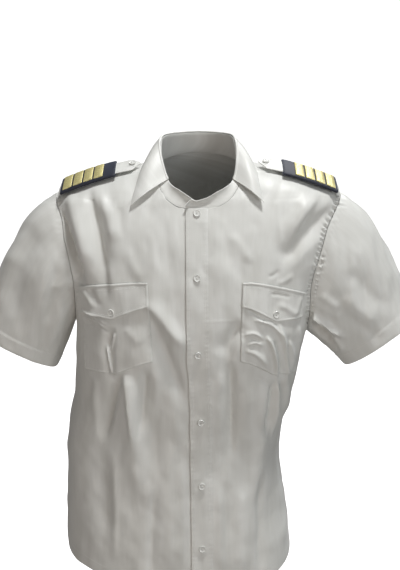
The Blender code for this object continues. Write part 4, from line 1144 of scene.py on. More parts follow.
def make_pocket(name, panel, material, thread):
    rows = row_positions(ROW_POCKET, ROW_POCKET_END, FINE_GRAIN)
    columns = COLUMN_POCKET + positions((POCKET_STEPS,) * (COLUMN_POCKET_END - COLUMN_POCKET))
    grid = np.meshgrid(rows, columns, indexing="ij")
    across = np.minimum(columns - COLUMN_POCKET, COLUMN_POCKET_END - columns)[None, :]
    edge_wave = 0.00025 * np.sin(rows * 9.0)[:, None] * np.exp(-(across / 0.35) ** 2)
    down = ROW_POCKET_END - rows[:, None]
    sunk = 0.0003 * np.exp(-(across / 0.06) ** 2) + 0.0003 * np.exp(-(down / 0.08) ** 2)
    lift = pocket_puff(*grid) + edge_wave * smoothstep(0, 0.1, across) - sunk
    lift = lift + stitched_ridge(edge_distance(panel, *grid, ROW_POCKET_END))
    make_part(f"pocket_{name}", panel, rows, columns, LAYER, material, lift)
    for line in edge_lines(panel.side, ROW_FLAP_END - 1, ROW_POCKET_END, POCKET_STITCHES, 120):
        sew(thread, panel, *line, LAYER, pocket_puff(*line))


def flap_lift(panel, rows, columns):
    """The flap follows the pocket and stands off it along its lower edge, but at its button."""
    down = np.clip((rows - ROW_POCKET) / (ROW_FLAP_END - ROW_POCKET), 0, 1)
    off = (columns - COLUMN_POCKET_MIDDLE) / (COLUMN_POCKET_END - COLUMN_POCKET_MIDDLE)
    uneven = 1 + 0.5 * np.sin(off * 5.0 + panel.side) + 0.25 * np.sin(off * 13.0)
    free = smoothstep(0.10, 0.45, np.abs(off)) * (1 - 0.6 * smoothstep(0.8, 1.0, np.abs(off)))
    return pocket_puff(rows, columns) + FLAP_LIFT * down ** 2 * free * uneven


def make_flap(name, panel, material, thread):
    rows = row_positions(ROW_POCKET, ROW_FLAP_END, FINE_GRAIN * 0.7)
    columns = COLUMN_POCKET + positions((POCKET_STEPS,) * (COLUMN_POCKET_END - COLUMN_POCKET))
    grid = np.meshgrid(rows, columns, indexing="ij")
    lift = flap_lift(panel, *grid) + stitched_ridge(edge_distance(panel, *grid, ROW_FLAP_END))
    lift = lift + TOP_RIDGE * stitched_ridge(LEVELS[ROW_POCKET] - level_at(grid[0]))
    make_part(f"flap_{name}", panel, rows, columns, 2 * LAYER, material, lift)
    top = ROW_POCKET + 0.1
    lines = edge_lines(panel.side, top, ROW_FLAP_END, FLAP_STITCHES, 40)
    lines += [(row, lines[-1][1]) for row in (top, ROW_POCKET + 0.35)]
    for line in lines:
        sew(thread, panel, *line, 2 * LAYER, flap_lift(panel, *line))


def make_yoke_and_back(panel, material, thread):
    columns = positions(BACK_STEPS)[None, :]
    for node, first, last in (("yoke", 0, ROW_YOKE), ("back", ROW_YOKE, ROW_HEM)):
        rows = row_positions(first, last, GRAIN)[:, None]
        points, normals = panel.place(rows, columns)
        if node == "yoke":
            down = unit(points[-1] - points[-2])
            points[-1] -= SEAM_GAP / 2 * down
        else:
            points[0] += SEAM_GAP / 2 * down
        shell(node, points, normals, material)
    for off in YOKE_STITCHES:
        sew(thread, panel, ROW_YOKE - off, np.linspace(0.1, BACK_COLUMNS - 0.1, 240))
    rows = np.linspace(ROW_ARMPIT + 0.1, ROW_HEM - 0.05, 300)
    for column in (SIDE_STITCHES, BACK_COLUMNS - SIDE_STITCHES):
        sew(thread, panel, rows, column)
    sew_hem(thread, panel, 0, BACK_COLUMNS)


def bezier(points, t):
    a, b, c, d = points
    return a * (1 - t) ** 3 + 3 * b * t * (1 - t) ** 2 + 3 * c * t * t * (1 - t) + d * t ** 3


def upright(pair):
    """A place or a direction in the middle plane from its x and z."""
    return np.array((pair[0], 0, pair[1]))


def make_sleeve(name, front, back, material, thread):
    """A sleeve: one curve from each point of the armhole down to the oval of its hem."""
    side = front.side
    rows = row_positions(ROW_TIP, ROW_ARMPIT, SLEEVE_GRAIN)
    front_edge = front.base(rows, COLUMN_EDGE)[0]
    back_edge = back.base(rows, 0 if side > 0 else BACK_COLUMNS)[0]
    front_edge[[0, -1]] = (front_edge[[0, -1]] + back_edge[[0, -1]]) / 2
    starts = np.vstack((front_edge, back_edge[-2:0:-1]))
    facing = np.concatenate((np.full(len(rows), -1.0), np.full(len(rows) - 2, 1.0)))
    seam_rows = np.concatenate((rows, rows[-2:0:-1]))
    middle = (SHOULDER_TIP + ARMPIT[side]) / 2
    half = (SHOULDER_TIP - ARMPIT[side]) / 2
    turn = np.arccos(np.clip((starts[:, 2] - middle) / half, -1, 1))
    shape = SLEEVES[side]
    along = upright(shape["axis"])
    outward = upright(shape["hem"]) * shape["width"] / 2
    slope = math.radians(CAP_SLOPE)
    cap = upright((side * math.cos(slope), -math.sin(slope)))
    ends = upright(shape["corner"]) + outward * (1 + np.cos(turn))[:, None]
    ends[:, 1] = facing * SLEEVE_DEPTH / 2 * np.sin(turn)
    lengths = np.linalg.norm(ends - starts, axis=1, keepdims=True)
    straight = (ends - starts) / lengths
    leave = straight + (cap - straight) * ((1 + np.cos(turn)) / 2)[:, None]
    leave[:, 1] += facing * SLEEVE_ROUND * np.sin(turn)
    leave = unit(leave)
    curve = (starts, starts + leave * lengths / 3, ends - along * lengths / 3, ends)
    first = SLEEVE_GAP / lengths[:, 0]
    hem_start = 1 - (SLEEVE_HEM + SLEEVE_HEM_STEP) / lengths[:, 0]
    shares = first + (hem_start - first) * np.linspace(0, 1, SLEEVE_STEPS)[:, None]
    shares = np.vstack((shares, 1 - np.array(SLEEVE_HEM_ROWS)[:, None] / lengths[:, 0]))
    points = bezier(curve, shares[..., None])
    normals = grid_normals(points, closed=True)
    normals *= math.copysign(1, np.sum(normals * (points - points.mean(axis=1, keepdims=True))))
    travelled = lengths_along(points, 0)
    front_share = smoothstep(0, SLEEVE_BLEND, -facing * np.sin(turn))
    back_share = smoothstep(0, SLEEVE_BLEND, facing * np.sin(turn))
    x, z = points[..., 0], points[..., 2]
    lift = crease_height(f"sleeve_{name}", x, z) * front_share
    lift += crease_height(f"sleeve_{name}_back", x, z) * back_share
    lift += crumple(x + points[..., 1], z, CRUMPLE_SEEDS["sleeve"] + side)
    lift *= smoothstep(0.0, SLEEVE_CALM, travelled)
    seam_length = front.seam(seam_rows, starts)[0][2]
    lift += pucker(side, travelled, seam_length[None, :]) * np.sin(turn) ** 0.5
    rest = travelled[-1] - travelled
    lift += 0.0005 * smoothstep(SLEEVE_HEM + SLEEVE_HEM_STEP, SLEEVE_HEM, rest)
    lift -= 0.0003 * smoothstep(0.0012, 0.0, rest)
    points = points + lift[..., None] * normals
    shell(f"sleeve_{name}", points, normals, material, closed=True)
    line, around, _ = across_at(points, normals, -rest, -SLEEVE_STITCHES)
    thread.line(np.vstack((line, line[:1])), np.vstack((around, around[:1])))


def stand_top(turn):
    """Points of the stand's top edge; angles run from the front to the wearer's left."""
    z = smooth_table(STAND_TOP, 1, np.degrees(np.abs(turn)))
    lean = smooth_table(STAND_LEAN, 1, np.degrees(np.abs(turn)))
    x = STAND_RADII[0] * np.sin(turn) + np.where(turn > 0, lean, 0)
    y = STAND_MIDDLE - STAND_RADII[1] * np.cos(turn)
    return np.stack((x, y, z), axis=-1)


def smooth_line(points, steps):
    """Points between those of a line, on a smooth curve through them all."""
    points = np.asarray(points, float)
    padded = np.vstack((2 * points[0] - points[1], points, 2 * points[-1] - points[-2]))
    t = (np.arange(steps) / steps)[:, None]
    parts = []
    for a, b, c, d in zip(padded, padded[1:], padded[2:], padded[3:]):
        bend = 2 * b + (c - a) * t + (2 * a - 5 * b + 4 * c - d) * t ** 2
        parts.append(0.5 * (bend + (3 * b - a - 3 * c + d) * t ** 3))
    return np.vstack(parts + [points[-1:]])


def make_stand(left, right, back, material, thread):
    """The stand: one band round the neck, whose ends lie on each other in front."""
    edge = COLUMN_PLACKET_END

    def neck(panel, row, column):
        return panel.base(row, column)[0]

    line = neck(left, ROW_NECK, 1)
    turned = neck(left, ROW_NECK, 0)
    ends = [line + share * (turned - line) for share, _ in STAND_END]
    under = [neck(left, ROW_NECK - 1, edge), neck(left, ROW_NECK, edge), line, turned]
    right_neck = [neck(right, row, edge) for row in range(ROW_NECK - 1, 0, -1)]
    left_neck = [neck(left, row, edge) for row in range(1, ROW_NECK + 1)]
    nape = [neck(back, 0, column) for column in range(BACK_COLUMNS, -1, -1)]
    feet = under + right_neck + nape + left_neck + [line] + ends
    drops = [1, 1, 1, 1, 0.6, 0.25] + [0] * (len(feet) - 6)
    rises = [0.7, 1, 1, 0.5] + [0] * (len(feet) - 4)
    heights = [1] * (len(feet) - len(ends)) + [height for _, height in STAND_END]
    columns = []
    shares = (0.0, 0.12, 0.25, 0.4, 0.55, 0.7, 0.85, 0.94, 1.0)
    for foot, drop, rise, height in zip(feet, drops, rises, heights):
        turn = math.atan2(foot[0], STAND_MIDDLE - foot[1])
        inward = -np.array((math.sin(turn), -math.cos(turn), 0)) * UNDER_DROP * drop
        top = stand_top(turn) + np.array((0, 0, UNDER_RISE * rise))
        up = unit(top - foot)
        start = foot + inward + STAND_GAP * up
        end = foot + inward + (top - foot) * height
        columns.append([start + share * (end - start) for share in shares])
    grid = np.array(columns)
    points = np.array([smooth_line(grid[:, k], 5) for k in range(len(shares))])
    flat = unit((points - (0, STAND_MIDDLE, 0)) * (1, 1, 0))
    angle = np.degrees(np.abs(np.arctan2(points[..., 0], STAND_MIDDLE - points[..., 1])))
    height = lengths_along(points, 0)
    height = height / height[-1]
    roll = STAND_ROLL * height ** 2.5 - STAND_HOLLOW * np.sin(math.pi * height)
    over = np.zeros(points.shape[1])
    over[-STAND_OVER_STEPS:] = STAND_OVER * smoothstep(0, 1, np.linspace(0, 1, STAND_OVER_STEPS))
    points = points + (roll * smoothstep(*STAND_ROLL_ENDS, angle) + over * height)[..., None] * flat
    normals = grid_normals(points)
    normals *= math.copysign(1, np.sum(normals * flat))
    shell("collar_stand", points, normals, material, STAND_WALL)
    seam = points[0] + STAND_STITCHES * unit(points[1] - points[0]) + STITCH_LIFT * normals[0]
    thread.line(seam[STAND_HIDDEN_STEPS:], normals[0][STAND_HIDDEN_STEPS:])


def make_leaf(material, thread):
    """The leaf: it folds over the stand's top edge and falls to its outer edge."""
    degrees = np.linspace(LEAF_START, 360 - LEAF_START, 2 * LEAF_COLUMNS + 1)
    turn = np.minimum(degrees, 360 - degrees)
    side = np.where(degrees <= 180, 1.0, -1.0)
    angle = np.radians(turn)
    outward = np.stack((side * np.sin(angle), -np.cos(angle), 0 * angle), axis=-1)
    edge = np.stack([smooth_table(LEAF_EDGE, column, turn) for column in (1, 2, 3)], axis=-1)
    lower = smoothstep(*LEAF_POINT_TURN, turn)[:, None] * np.array(LEAF_POINT_RIGHT)
    edge = edge + np.where(side[:, None] < 0, lower, 0)
    edge[:, 0] *= side
    fold = stand_top(side * angle) + outward * LEAF_OUT + UP * LEAF_UP
    arcs = np.linspace(math.pi, 0, 7)
    facing = [math.cos(a) * outward + math.sin(a) * UP for a in arcs]
    bend = [fold + LEAF_FOLD * normal for normal in facing]
    fall = edge - bend[-1]
    level = fall * (1, 1, 0)
    bulge = unit(np.cross(fall, np.cross(level, UP)))
    bulge = -bulge * np.sign(-bulge[:, 2:3])
    steps = np.linspace(0, 1, LEAF_STEPS + 1)[1:]
    outer = [bend[-1] + t * fall + 4 * t * (1 - t) * LEAF_BULGE * bulge for t in steps]
    points = np.array(bend + outer)
    normals = grid_normals(points)
    normals *= math.copysign(1, np.sum(normals[len(bend):] * UP))
    normals[:len(bend) - 1] = facing[:-1]
    down = np.concatenate((np.zeros(len(bend)), steps))[:, None]
    waves = crumple(points[..., 0] * 0.8, points[..., 2] + points[..., 1], CRUMPLE_SEEDS["leaf"])
    waves = waves * 0.5 * down
    arch = (np.sin(math.pi * down ** 1.2) - 0.35 * down ** 4) * smoothstep(100, 55, turn)
    points = points + waves[..., None] * normals
    points[..., 1] -= LEAF_CURL * arch
    shell("collar_leaf", points, normals, material, LEAF_WALL)
    run = lengths_along(points, 0)
    rest = run[-1] - run
    across = lengths_along(points, 1)
    back_across = across[:, -1:] - across
    line, facing, low = across_at(points, normals, -rest, -LEAF_STITCHES)
    k = np.arange(points.shape[1])
    inside = np.minimum(across, back_across)[low, k] > LEAF_STITCHES
    thread.line(line[inside], facing[inside])
    keep = (np.arange(len(points)) >= len(bend)) & (rest[:, 0] > LEAF_STITCHES)
    for lengths, step in ((across, 1), (back_across, -1)):
        turned = [grid[:, ::step].swapaxes(0, 1) for grid in (points, normals, lengths)]
        line, facing, _ = across_at(*turned, LEAF_STITCHES)
        thread.line(line[keep], facing[keep])


def shoulder_height(x, y):
    """Height of the shirt's outer face at a place on the shoulder."""
    low, high = -0.150, 0.0
    for _ in range(40):
        z = (low + high) / 2
        middle, width, front, back, square = section(z)
        depth = front if y < 0 else back
        inside = (abs(x - middle) / width) ** square + (abs(y) / depth) ** square < 1
        low, high = (z, high) if inside else (low, z)
    return low


def strap_curve():
    """A parabola in x for the strap's middle line, just clear of the shoulder under a board."""
    stations = np.linspace(0.100, 0.215, 8)
    offsets = np.linspace(-BOARD_HALF, BOARD_HALF, 9)
    needed = []
    for x in stations:
        rises = []
        for off in offsets:
            y = STRAP_MIDDLE - off * math.cos(STRAP_TILT)
            drop = off * math.sin(STRAP_TILT) + STRAP_CROWN * (off / BOARD_HALF) ** 2
            rises.append(shoulder_height(x, y) + drop)
        needed.append(max(rises))
    curve = np.polyfit(stations, needed, 2)
    short = max(np.array(needed) - np.polyval(curve, stations))
    curve[2] += short + (BOARD_DROP + BOARD_CLEARANCE) / math.cos(STRAP_TILT)
    return curve


def strap_frame(side, along, across, curve):
    """Points and normals on the strap's under face; across runs to the front."""
    along, across = np.broadcast_arrays(np.asarray(along, float), np.asarray(across, float))
    z = np.polyval(curve, along) + STRAP_LIFT[side]
    z = z - across * math.sin(STRAP_TILT) - STRAP_CROWN * (across / BOARD_HALF) ** 2
    z = z - (STRAP_SEAM_DROP[side] + STRAP_LIFT[side]) * smoothstep(BOARD_REACH[1], STRAP_REACH[1], along)
    slope = np.polyval(np.polyder(curve), along)
    fall = -math.sin(STRAP_TILT) - 2 * STRAP_CROWN * across / BOARD_HALF ** 2
    points = np.stack((side * along, STRAP_MIDDLE - across * math.cos(STRAP_TILT), z), axis=-1)
    ones, zeros = np.ones_like(along), np.zeros_like(along)
    lengthways = np.stack((ones, zeros, slope), axis=-1)
    sideways = np.stack((zeros, math.cos(STRAP_TILT) * ones, -fall), axis=-1)
    normals = unit(np.cross(lengthways, sideways)) * (side, 1, 1)
    return points, normals


def make_strap(name, side, curve, material, thread):
    start, end = STRAP_REACH
    point_rows = np.linspace(start, start + STRAP_POINT, 9)
    lengths = np.concatenate((point_rows, np.linspace(start + STRAP_POINT, end, 64)[1:]))
    halves = np.interp(lengths, (start, start + STRAP_POINT), (0.002, STRAP_WIDTH / 2))
    across = np.linspace(-1, 1, 25)[None, :] * halves[:, None]
    base, normals = strap_frame(side, lengths[:, None], across, curve)
    off_edge = np.minimum(halves[:, None] - np.abs(across), (lengths - start)[:, None])
    groove = -0.00025 * np.exp(-((off_edge - 0.0040) / 0.0012) ** 2)
    rounded = -0.0004 * np.exp(-(off_edge / 0.0010) ** 2)
    soft = crumple(base[..., 0] * 1.4, base[..., 1], CRUMPLE_SEEDS["strap"] + side)
    soft = soft * 0.5 * smoothstep(0.002, 0.008, off_edge)
    free = smoothstep(BOARD_REACH[0] - 0.002, BOARD_REACH[0] - 0.010, lengths)[:, None]
    points = base + (STRAP_WALL + groove + rounded + soft * free)[..., None] * normals
    shell(f"strap_{name}", points, normals, material, STRAP_WALL * 0.9)
    run = np.linspace(start + STRAP_POINT, BOARD_REACH[0] + 0.004, 40)
    half = STRAP_WIDTH / 2 - STRAP_STITCHES
    tip = np.linspace(0, 1, 20)
    tip_inset = STRAP_STITCHES * 1.3
    tip_run = start + tip_inset + tip * (STRAP_POINT - tip_inset)
    for sign in (-1, 1):
        for along, aside in ((run, sign * half), (tip_run, sign * tip * half)):
            line, facing = strap_frame(side, along, aside, curve)
            thread.line(line + (STRAP_WALL - STITCH_LIFT) * facing, facing)


def make_board(name, side, curve, material, thread):
    """The board: a flat tube of dark cloth that the strap runs through."""
    radius = BOARD_HEIGHT / 2
    straight = BOARD_HALF - radius
    outline = []
    for centre, start in ((straight, -90), (-straight, 90)):
        for degrees in np.linspace(start, start + 180, 9):
            turn = math.radians(degrees)
            outline.append((centre + radius * math.cos(turn), radius * math.sin(turn), turn))
        for share in np.linspace(0, 1, 14)[1:-1]:
            turn = math.radians(start + 180)
            outline.append((centre * (1 - 2 * share), radius * math.sin(turn), turn))
    across, up, turn = (np.array(values) for values in zip(*outline))
    lengths = np.linspace(*BOARD_REACH, 46)[:, None]
    points, normals = strap_frame(side, lengths, across[None, :], curve)
    ahead, _ = strap_frame(side, lengths, across[None, :] + 0.0001, curve)
    sideways = unit(ahead - points)
    facing = np.cos(turn)[None, :, None] * sideways + np.sin(turn)[None, :, None] * normals
    end = np.minimum(lengths - BOARD_REACH[0], BOARD_REACH[1] - lengths)
    uneven = 0.00012 * np.sin(lengths * 300 + across[None, :] * 160)
    lift = uneven - 0.0004 * np.exp(-(end / 0.0010) ** 2)
    points = points + (up[None, :] + radius - BOARD_DROP)[..., None] * normals
    points = points + lift[..., None] * facing
    shell(f"slider_{name}", points, facing, material, BOARD_WALL, True)
    run = np.linspace(-straight, straight, 40)
    line, around = strap_frame(side, BOARD_REACH[0] + BOARD_STITCHES, run, curve)
    thread.line(line + (BOARD_HEIGHT - BOARD_DROP + STITCH_LIFT) * around, around)


def make_bars(name, side, curve, material):
    """The bars: bands of braid with slanted ribs that meet along each band's middle."""
    height = BOARD_HEIGHT - BOARD_DROP + SEAM_GAP + BAR_WALL
    for number in range(BARS):
        end = BOARD_REACH[1] - BAR_MARGIN - number * BAR_PITCH
        lengths = np.linspace(end - BAR_WIDTH, end, 29)[:, None]
        across = np.linspace(-BAR_HALF, BAR_HALF, 113)[None, :]
        base, normals = strap_frame(side, lengths, across, curve)
        place = (lengths - end + BAR_WIDTH / 2) / (BAR_WIDTH / 2)
        ribs = np.sin(2 * math.pi * (across + 0.0022 * np.abs(place)) / 0.0024)
        edge = smoothstep(1.0, 0.86, np.abs(place))
        band = np.exp(-((np.abs(place) - 0.93) / 0.06) ** 2)
        middle = np.exp(-(place / 0.07) ** 2)
        sides = smoothstep(BAR_HALF, BAR_HALF - 0.0010, np.abs(across))
        lift = 0.00022 * ribs * edge * (1 - middle) + 0.00020 * band - 0.00018 * middle
        crown = 0.0010 * (1 - place ** 4) * (1 - (across / BAR_HALF) ** 6)
        lift = lift + crown - 0.0004 * (1 - sides)
        points = base + (height + lift)[..., None] * normals
        node = f"bar_{name}_{number + 1}"
        shell(node, points, normals, material, BAR_WALL, ending="braid")


def button_mesh():
    """A round button with a raised rim, a dished middle and four holes, its back at its origin."""
    profile = (
        (0.0030, 0.0), (0.0048, 0.0), (0.0055, 0.0004), (BUTTON_RADIUS, 0.0010), (0.0056, 0.0017),
        (0.0051, BUTTON_THICK), (0.0046, 0.0021), (0.0041, 0.0016), (0.0032, 0.0013),
    )
    sides = 40
    rings = []
    for radius, z in profile:
        turn = np.linspace(0, 2 * math.pi, sides, endpoint=False)
        rings.append(np.stack((radius * np.cos(turn), radius * np.sin(turn), np.full(sides, z)), axis=-1))
    shape = bpy.data.meshes.new("button_body")
    points = np.vstack(rings)
    faces = []
    for ring in range(len(profile) - 1):
        for k in range(sides):
            a, b = ring * sides + k, ring * sides + (k + 1) % sides
            faces.append((a, b, b + sides, a + sides))
    faces.append(tuple(range(sides))[::-1])
    faces.append(tuple((len(profile) - 1) * sides + k for k in range(sides)))
    shape.from_pydata(points.tolist(), [], faces)
    body_object = bpy.data.objects.new("button_body", shape)
    bpy.context.collection.objects.link(body_object)
    cutters = []
    for quarter in range(4):
        turn = math.radians(45 + 90 * quarter)
        place = (HOLE_OFF * math.cos(turn), HOLE_OFF * math.sin(turn), 0)
        bpy.ops.mesh.primitive_cylinder_add(
            vertices=10, radius=HOLE_RADIUS, depth=0.01, location=place)
        cutters.append(bpy.context.object)
        cut = body_object.modifiers.new("hole", "BOOLEAN")
        cut.object = cutters[-1]
        cut.operation = "DIFFERENCE"
    graph = bpy.context.evaluated_depsgraph_get()
    mesh = bpy.data.meshes.new_from_object(body_object.evaluated_get(graph))
    for cutter in cutters + [body_object]:
        bpy.data.objects.remove(cutter)
    mesh.shade_smooth()
    mesh.set_sharp_from_angle(angle=math.radians(35))
    return mesh


def thread_mesh():
    """The crossed thread that holds a button: two pairs of strands through its holes."""
    points, faces = [], []
    half, height = 0.00028, 0.00155
    off = HOLE_OFF / math.sqrt(2)
    for sign in (-1, 1):
        for strand in (-1, 1):
            start = np.array((-off, -sign * off, height))
            end = -start * (1, 1, -1)
            aside = unit(np.array((-(end - start)[1], (end - start)[0], 0)))
            for t, z in ((0.0, -0.0009), (0.12, 0.0001), (0.5, 0.00025), (0.88, 0.0001), (1.0, -0.0009)):
                centre = start + t * (end - start) + UP * z + aside * strand * half * 0.9
                for a in range(6):
                    turn = a * math.pi / 3
                    ring = math.cos(turn) * aside + math.sin(turn) * UP
                    points.append(centre + half * 0.8 * ring)
            first = len(points) - 30
            for ring in range(4):
                for a in range(6):
                    p, q = first + ring * 6 + a, first + ring * 6 + (a + 1) % 6
                    faces.append((p, q, q + 6, p + 6))
    mesh = bpy.data.meshes.new("button_thread")
    mesh.from_pydata([tuple(p) for p in points], [], faces)
    mesh.shade_smooth()
    return mesh


def seat_button(node, normal, mesh, strands):
    """A detailed button where the solid one lies, facing along a normal."""
    low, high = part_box(node)
    centre = (low + high) / 2
    normal = Vector(normal).normalized()
    button = bpy.data.objects.new(f"{node}_pearl", mesh)
    strand = bpy.data.objects.new(f"{node}_thread", strands)
    for piece in (button, strand):
        bpy.context.collection.objects.link(piece)
        piece.rotation_mode = "QUATERNION"
        piece.rotation_quaternion = normal.to_track_quat("Z", "Y")
        piece.location = centre - normal * BUTTON_THICK / 2
    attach(button, "root")
    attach(strand, "root")
    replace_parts(button, node)


def panel_normal(panel, level, column):
    """Normal of a front where a column reaches a height."""
    rows = np.linspace(ROW_NECK, ROW_HEM, 600)
    _, normals, heights = panel.base(rows, np.full(600, column))
    return normals[np.argmin(np.abs(heights - level))]


def make_buttons(fronts, curve, pearl, thread):
    mesh, strands = button_mesh(), thread_mesh()
    mesh.materials.append(pearl)
    strands.materials.append(thread)
    normals = {}
    for number, level in enumerate(BUTTON_LEVELS):
        normals[f"front_{number + 1}"] = panel_normal(fronts["left"], level, 1)
    for name, side in SIDES.items():
        level = FLAP_BUTTON[side]
        normals[f"flap_{name}"] = panel_normal(fronts[name], level, COLUMN_POCKET_MIDDLE)
        normals[f"strap_{name}"] = strap_frame(side, STRAP_BUTTON, 0.0, curve)[1]
    for name, normal in normals.items():
        seat_button(f"button_{name}", normal, mesh, strands)


class Nodes:
    """A short way to write a material's nodes."""

    def __init__(self, name):
        self.material = bpy.data.materials.new(name)
        self.material.use_nodes = True
        self.tree = self.material.node_tree
        self.shader = self.tree.nodes["Principled BSDF"]

    def add(self, kind, **values):
        node = self.tree.nodes.new(kind)
        for name, value in values.items():
            if name in node.bl_rna.properties:
                setattr(node, name, value)
            else:
                node.inputs[name.replace("_", " ")].default_value = value
        return node

    def link(self, source, target):
        self.tree.links.new(source, target)

    def set(self, **values):
        for name, value in values.items():
            self.shader.inputs[name.replace("_", " ")].default_value = value

    def tones(self, pattern, first, last, ends=(0, 1)):
        """Two tones of the base colour, at the ends of a range of a pattern's value."""
        ramp = self.add("ShaderNodeValToRGB")
        for element, tone, end in zip(ramp.color_ramp.elements, (first, last), ends):
            element.color = (*tone, 1)
            element.position = end
        self.link(pattern, ramp.inputs["Fac"])
        self.link(ramp.outputs["Color"], self.shader.inputs["Base Color"])


def weave_bump(nodes, period, depth, coordinates):
    """A plain weave as bump: waves along and across the cloth."""
    height = None
    for direction in ("X", "Y"):
        wave = nodes.add("ShaderNodeTexWave", wave_type="BANDS", bands_direction=direction,
                         Scale=1 / period / 20, Distortion=0.6, Detail=1.0)
        nodes.link(coordinates, wave.inputs["Vector"])
        if height is None:
            height = wave.outputs["Fac"]
        else:
            blend = nodes.add("ShaderNodeMath", operation="MULTIPLY")
            nodes.link(height, blend.inputs[0])
            nodes.link(wave.outputs["Fac"], blend.inputs[1])
            height = blend.outputs[0]
    bump = nodes.add("ShaderNodeBump", Strength=0.5, Distance=depth)
    nodes.link(height, bump.inputs["Height"])
    return bump


def cloth_material():
    """White shirt cloth: fine plain weave, a soft sheen, slight unevenness of tone, and faint vertical
    streaks of painted sheen in its base colour.
    """
    nodes = Nodes("white_shirt_cloth")
    place = nodes.add("ShaderNodeAttribute", attribute_name="weave")
    bump = weave_bump(nodes, 0.00045, 0.00006, place.outputs["Vector"])
    slub = nodes.add("ShaderNodeTexNoise", Scale=220.0, Detail=4.0, Roughness=0.6)
    nodes.link(place.outputs["Vector"], slub.inputs["Vector"])
    second = nodes.add("ShaderNodeBump", Strength=0.35, Distance=0.00012)
    nodes.link(slub.outputs["Fac"], second.inputs["Height"])
    nodes.link(bump.outputs["Normal"], second.inputs["Normal"])
    nodes.link(second.outputs["Normal"], nodes.shader.inputs["Normal"])
    # Base colour: random unevenness of tone, stretched along the cloth into faint vertical streaks that are
    # painted sheen, standing in for the satin's sheen bands
    tone = nodes.add("ShaderNodeTexNoise", Scale=14.0, Detail=3.0, Roughness=0.5)
    sheen_streak_stretch = nodes.add("ShaderNodeMapping")
    sheen_streak_stretch.inputs["Scale"].default_value = (3.0, 0.35, 1.0)
    nodes.link(place.outputs["Vector"], sheen_streak_stretch.inputs["Vector"])
    nodes.link(sheen_streak_stretch.outputs["Vector"], tone.inputs["Vector"])
    nodes.tones(tone.outputs["Fac"], (0.735, 0.735, 0.708), (0.825, 0.828, 0.808), (0.35, 0.7))
    nodes.set(Roughness=0.42, Specular_IOR_Level=0.45, Sheen_Weight=0.25, Sheen_Roughness=0.35)
    return nodes.material


def thread_material():
    """Spun sewing thread, a little brighter than the cloth."""
    nodes = Nodes("white_thread")
    place = nodes.add("ShaderNodeTexCoord")
    twist = nodes.add("ShaderNodeTexWave", bands_direction="DIAGONAL", Scale=900.0, Distortion=0.0)
    nodes.link(place.outputs["Object"], twist.inputs["Vector"])
    bump = nodes.add("ShaderNodeBump", Strength=0.4, Distance=0.00004)
    nodes.link(twist.outputs["Fac"], bump.inputs["Height"])
    nodes.link(bump.outputs["Normal"], nodes.shader.inputs["Normal"])
    nodes.set(Base_Color=(0.86, 0.86, 0.84, 1), Roughness=0.55, Sheen_Weight=0.2)
    return nodes.material


def board_material():
    """Dark navy cloth with a short nap."""
    nodes = Nodes("navy_board_cloth")
    place = nodes.add("ShaderNodeAttribute", attribute_name="weave")
    bump = weave_bump(nodes, 0.0006, 0.00012, place.outputs["Vector"])
    nodes.link(bump.outputs["Normal"], nodes.shader.inputs["Normal"])
    nap = nodes.add("ShaderNodeTexNoise", Scale=900.0, Detail=5.0, Roughness=0.7)
    nodes.link(place.outputs["Vector"], nap.inputs["Vector"])
    nodes.tones(nap.outputs["Fac"], (0.004, 0.005, 0.012), (0.022, 0.027, 0.050))
    nodes.set(Roughness=0.6, Sheen_Weight=0.5, Sheen_Roughness=0.3, Sheen_Tint=(0.55, 0.65, 0.95, 1))
    return nodes.material


def braid_material():
    """Woven metallic braid: gold strands over a yellow ground, darker between them."""
    nodes = Nodes("gold_braid")
    place = nodes.add("ShaderNodeAttribute", attribute_name="weave")
    bump = weave_bump(nodes, 0.0007, 0.00018, place.outputs["Vector"])
    nodes.link(bump.outputs["Normal"], nodes.shader.inputs["Normal"])
    strands = nodes.add("ShaderNodeTexVoronoi", Scale=900.0, feature="F1")
    nodes.link(place.outputs["Vector"], strands.inputs["Vector"])
    nodes.tones(strands.outputs["Distance"], (0.97, 0.91, 0.52), (0.56, 0.47, 0.15))
    nodes.set(Roughness=0.40, Metallic=0.5, Sheen_Weight=0.2, Sheen_Tint=(1.0, 0.95, 0.65, 1))
    return nodes.material


def pearl_material():
    """Pearly button plastic, cloudy and glossy."""
    nodes = Nodes("pearl_button")
    place = nodes.add("ShaderNodeTexCoord")
    cloud = nodes.add("ShaderNodeTexNoise", Scale=260.0, Detail=3.0, Distortion=1.5)
    nodes.link(place.outputs["Object"], cloud.inputs["Vector"])
    nodes.tones(cloud.outputs["Fac"], (0.74, 0.74, 0.70), (0.90, 0.91, 0.90))
    nodes.set(Roughness=0.16, Coat_Weight=0.6, Coat_Roughness=0.06)
    return nodes.material


def make_camera():
    data = bpy.data.cameras.new("camera")
    data.lens = FOCAL_PX / FRAME_HEIGHT_PX * data.sensor_width
    data.clip_end = 50
    camera = bpy.data.objects.new("camera", data)
    bpy.context.collection.objects.link(camera)
    away = Vector((0, -math.cos(CAMERA_ELEVATION), math.sin(CAMERA_ELEVATION)))
    camera.location = CAMERA_AIM + CAMERA_DISTANCE * away
    camera.rotation_euler = (math.pi / 2 - CAMERA_ELEVATION, 0, 0)
    bpy.context.scene.camera = camera


def area_light(name, place, aim_height, size, power, colour):
    data = bpy.data.lights.new(name, "AREA")
    data.size = size
    data.energy = power
    data.color = colour
    light = bpy.data.objects.new(name, data)
    bpy.context.collection.objects.link(light)
    light.location = place
    aim = Vector((0.0, 0.0, aim_height))
    light.rotation_euler = (aim - Vector(place)).to_track_quat("-Z", "Y").to_euler()


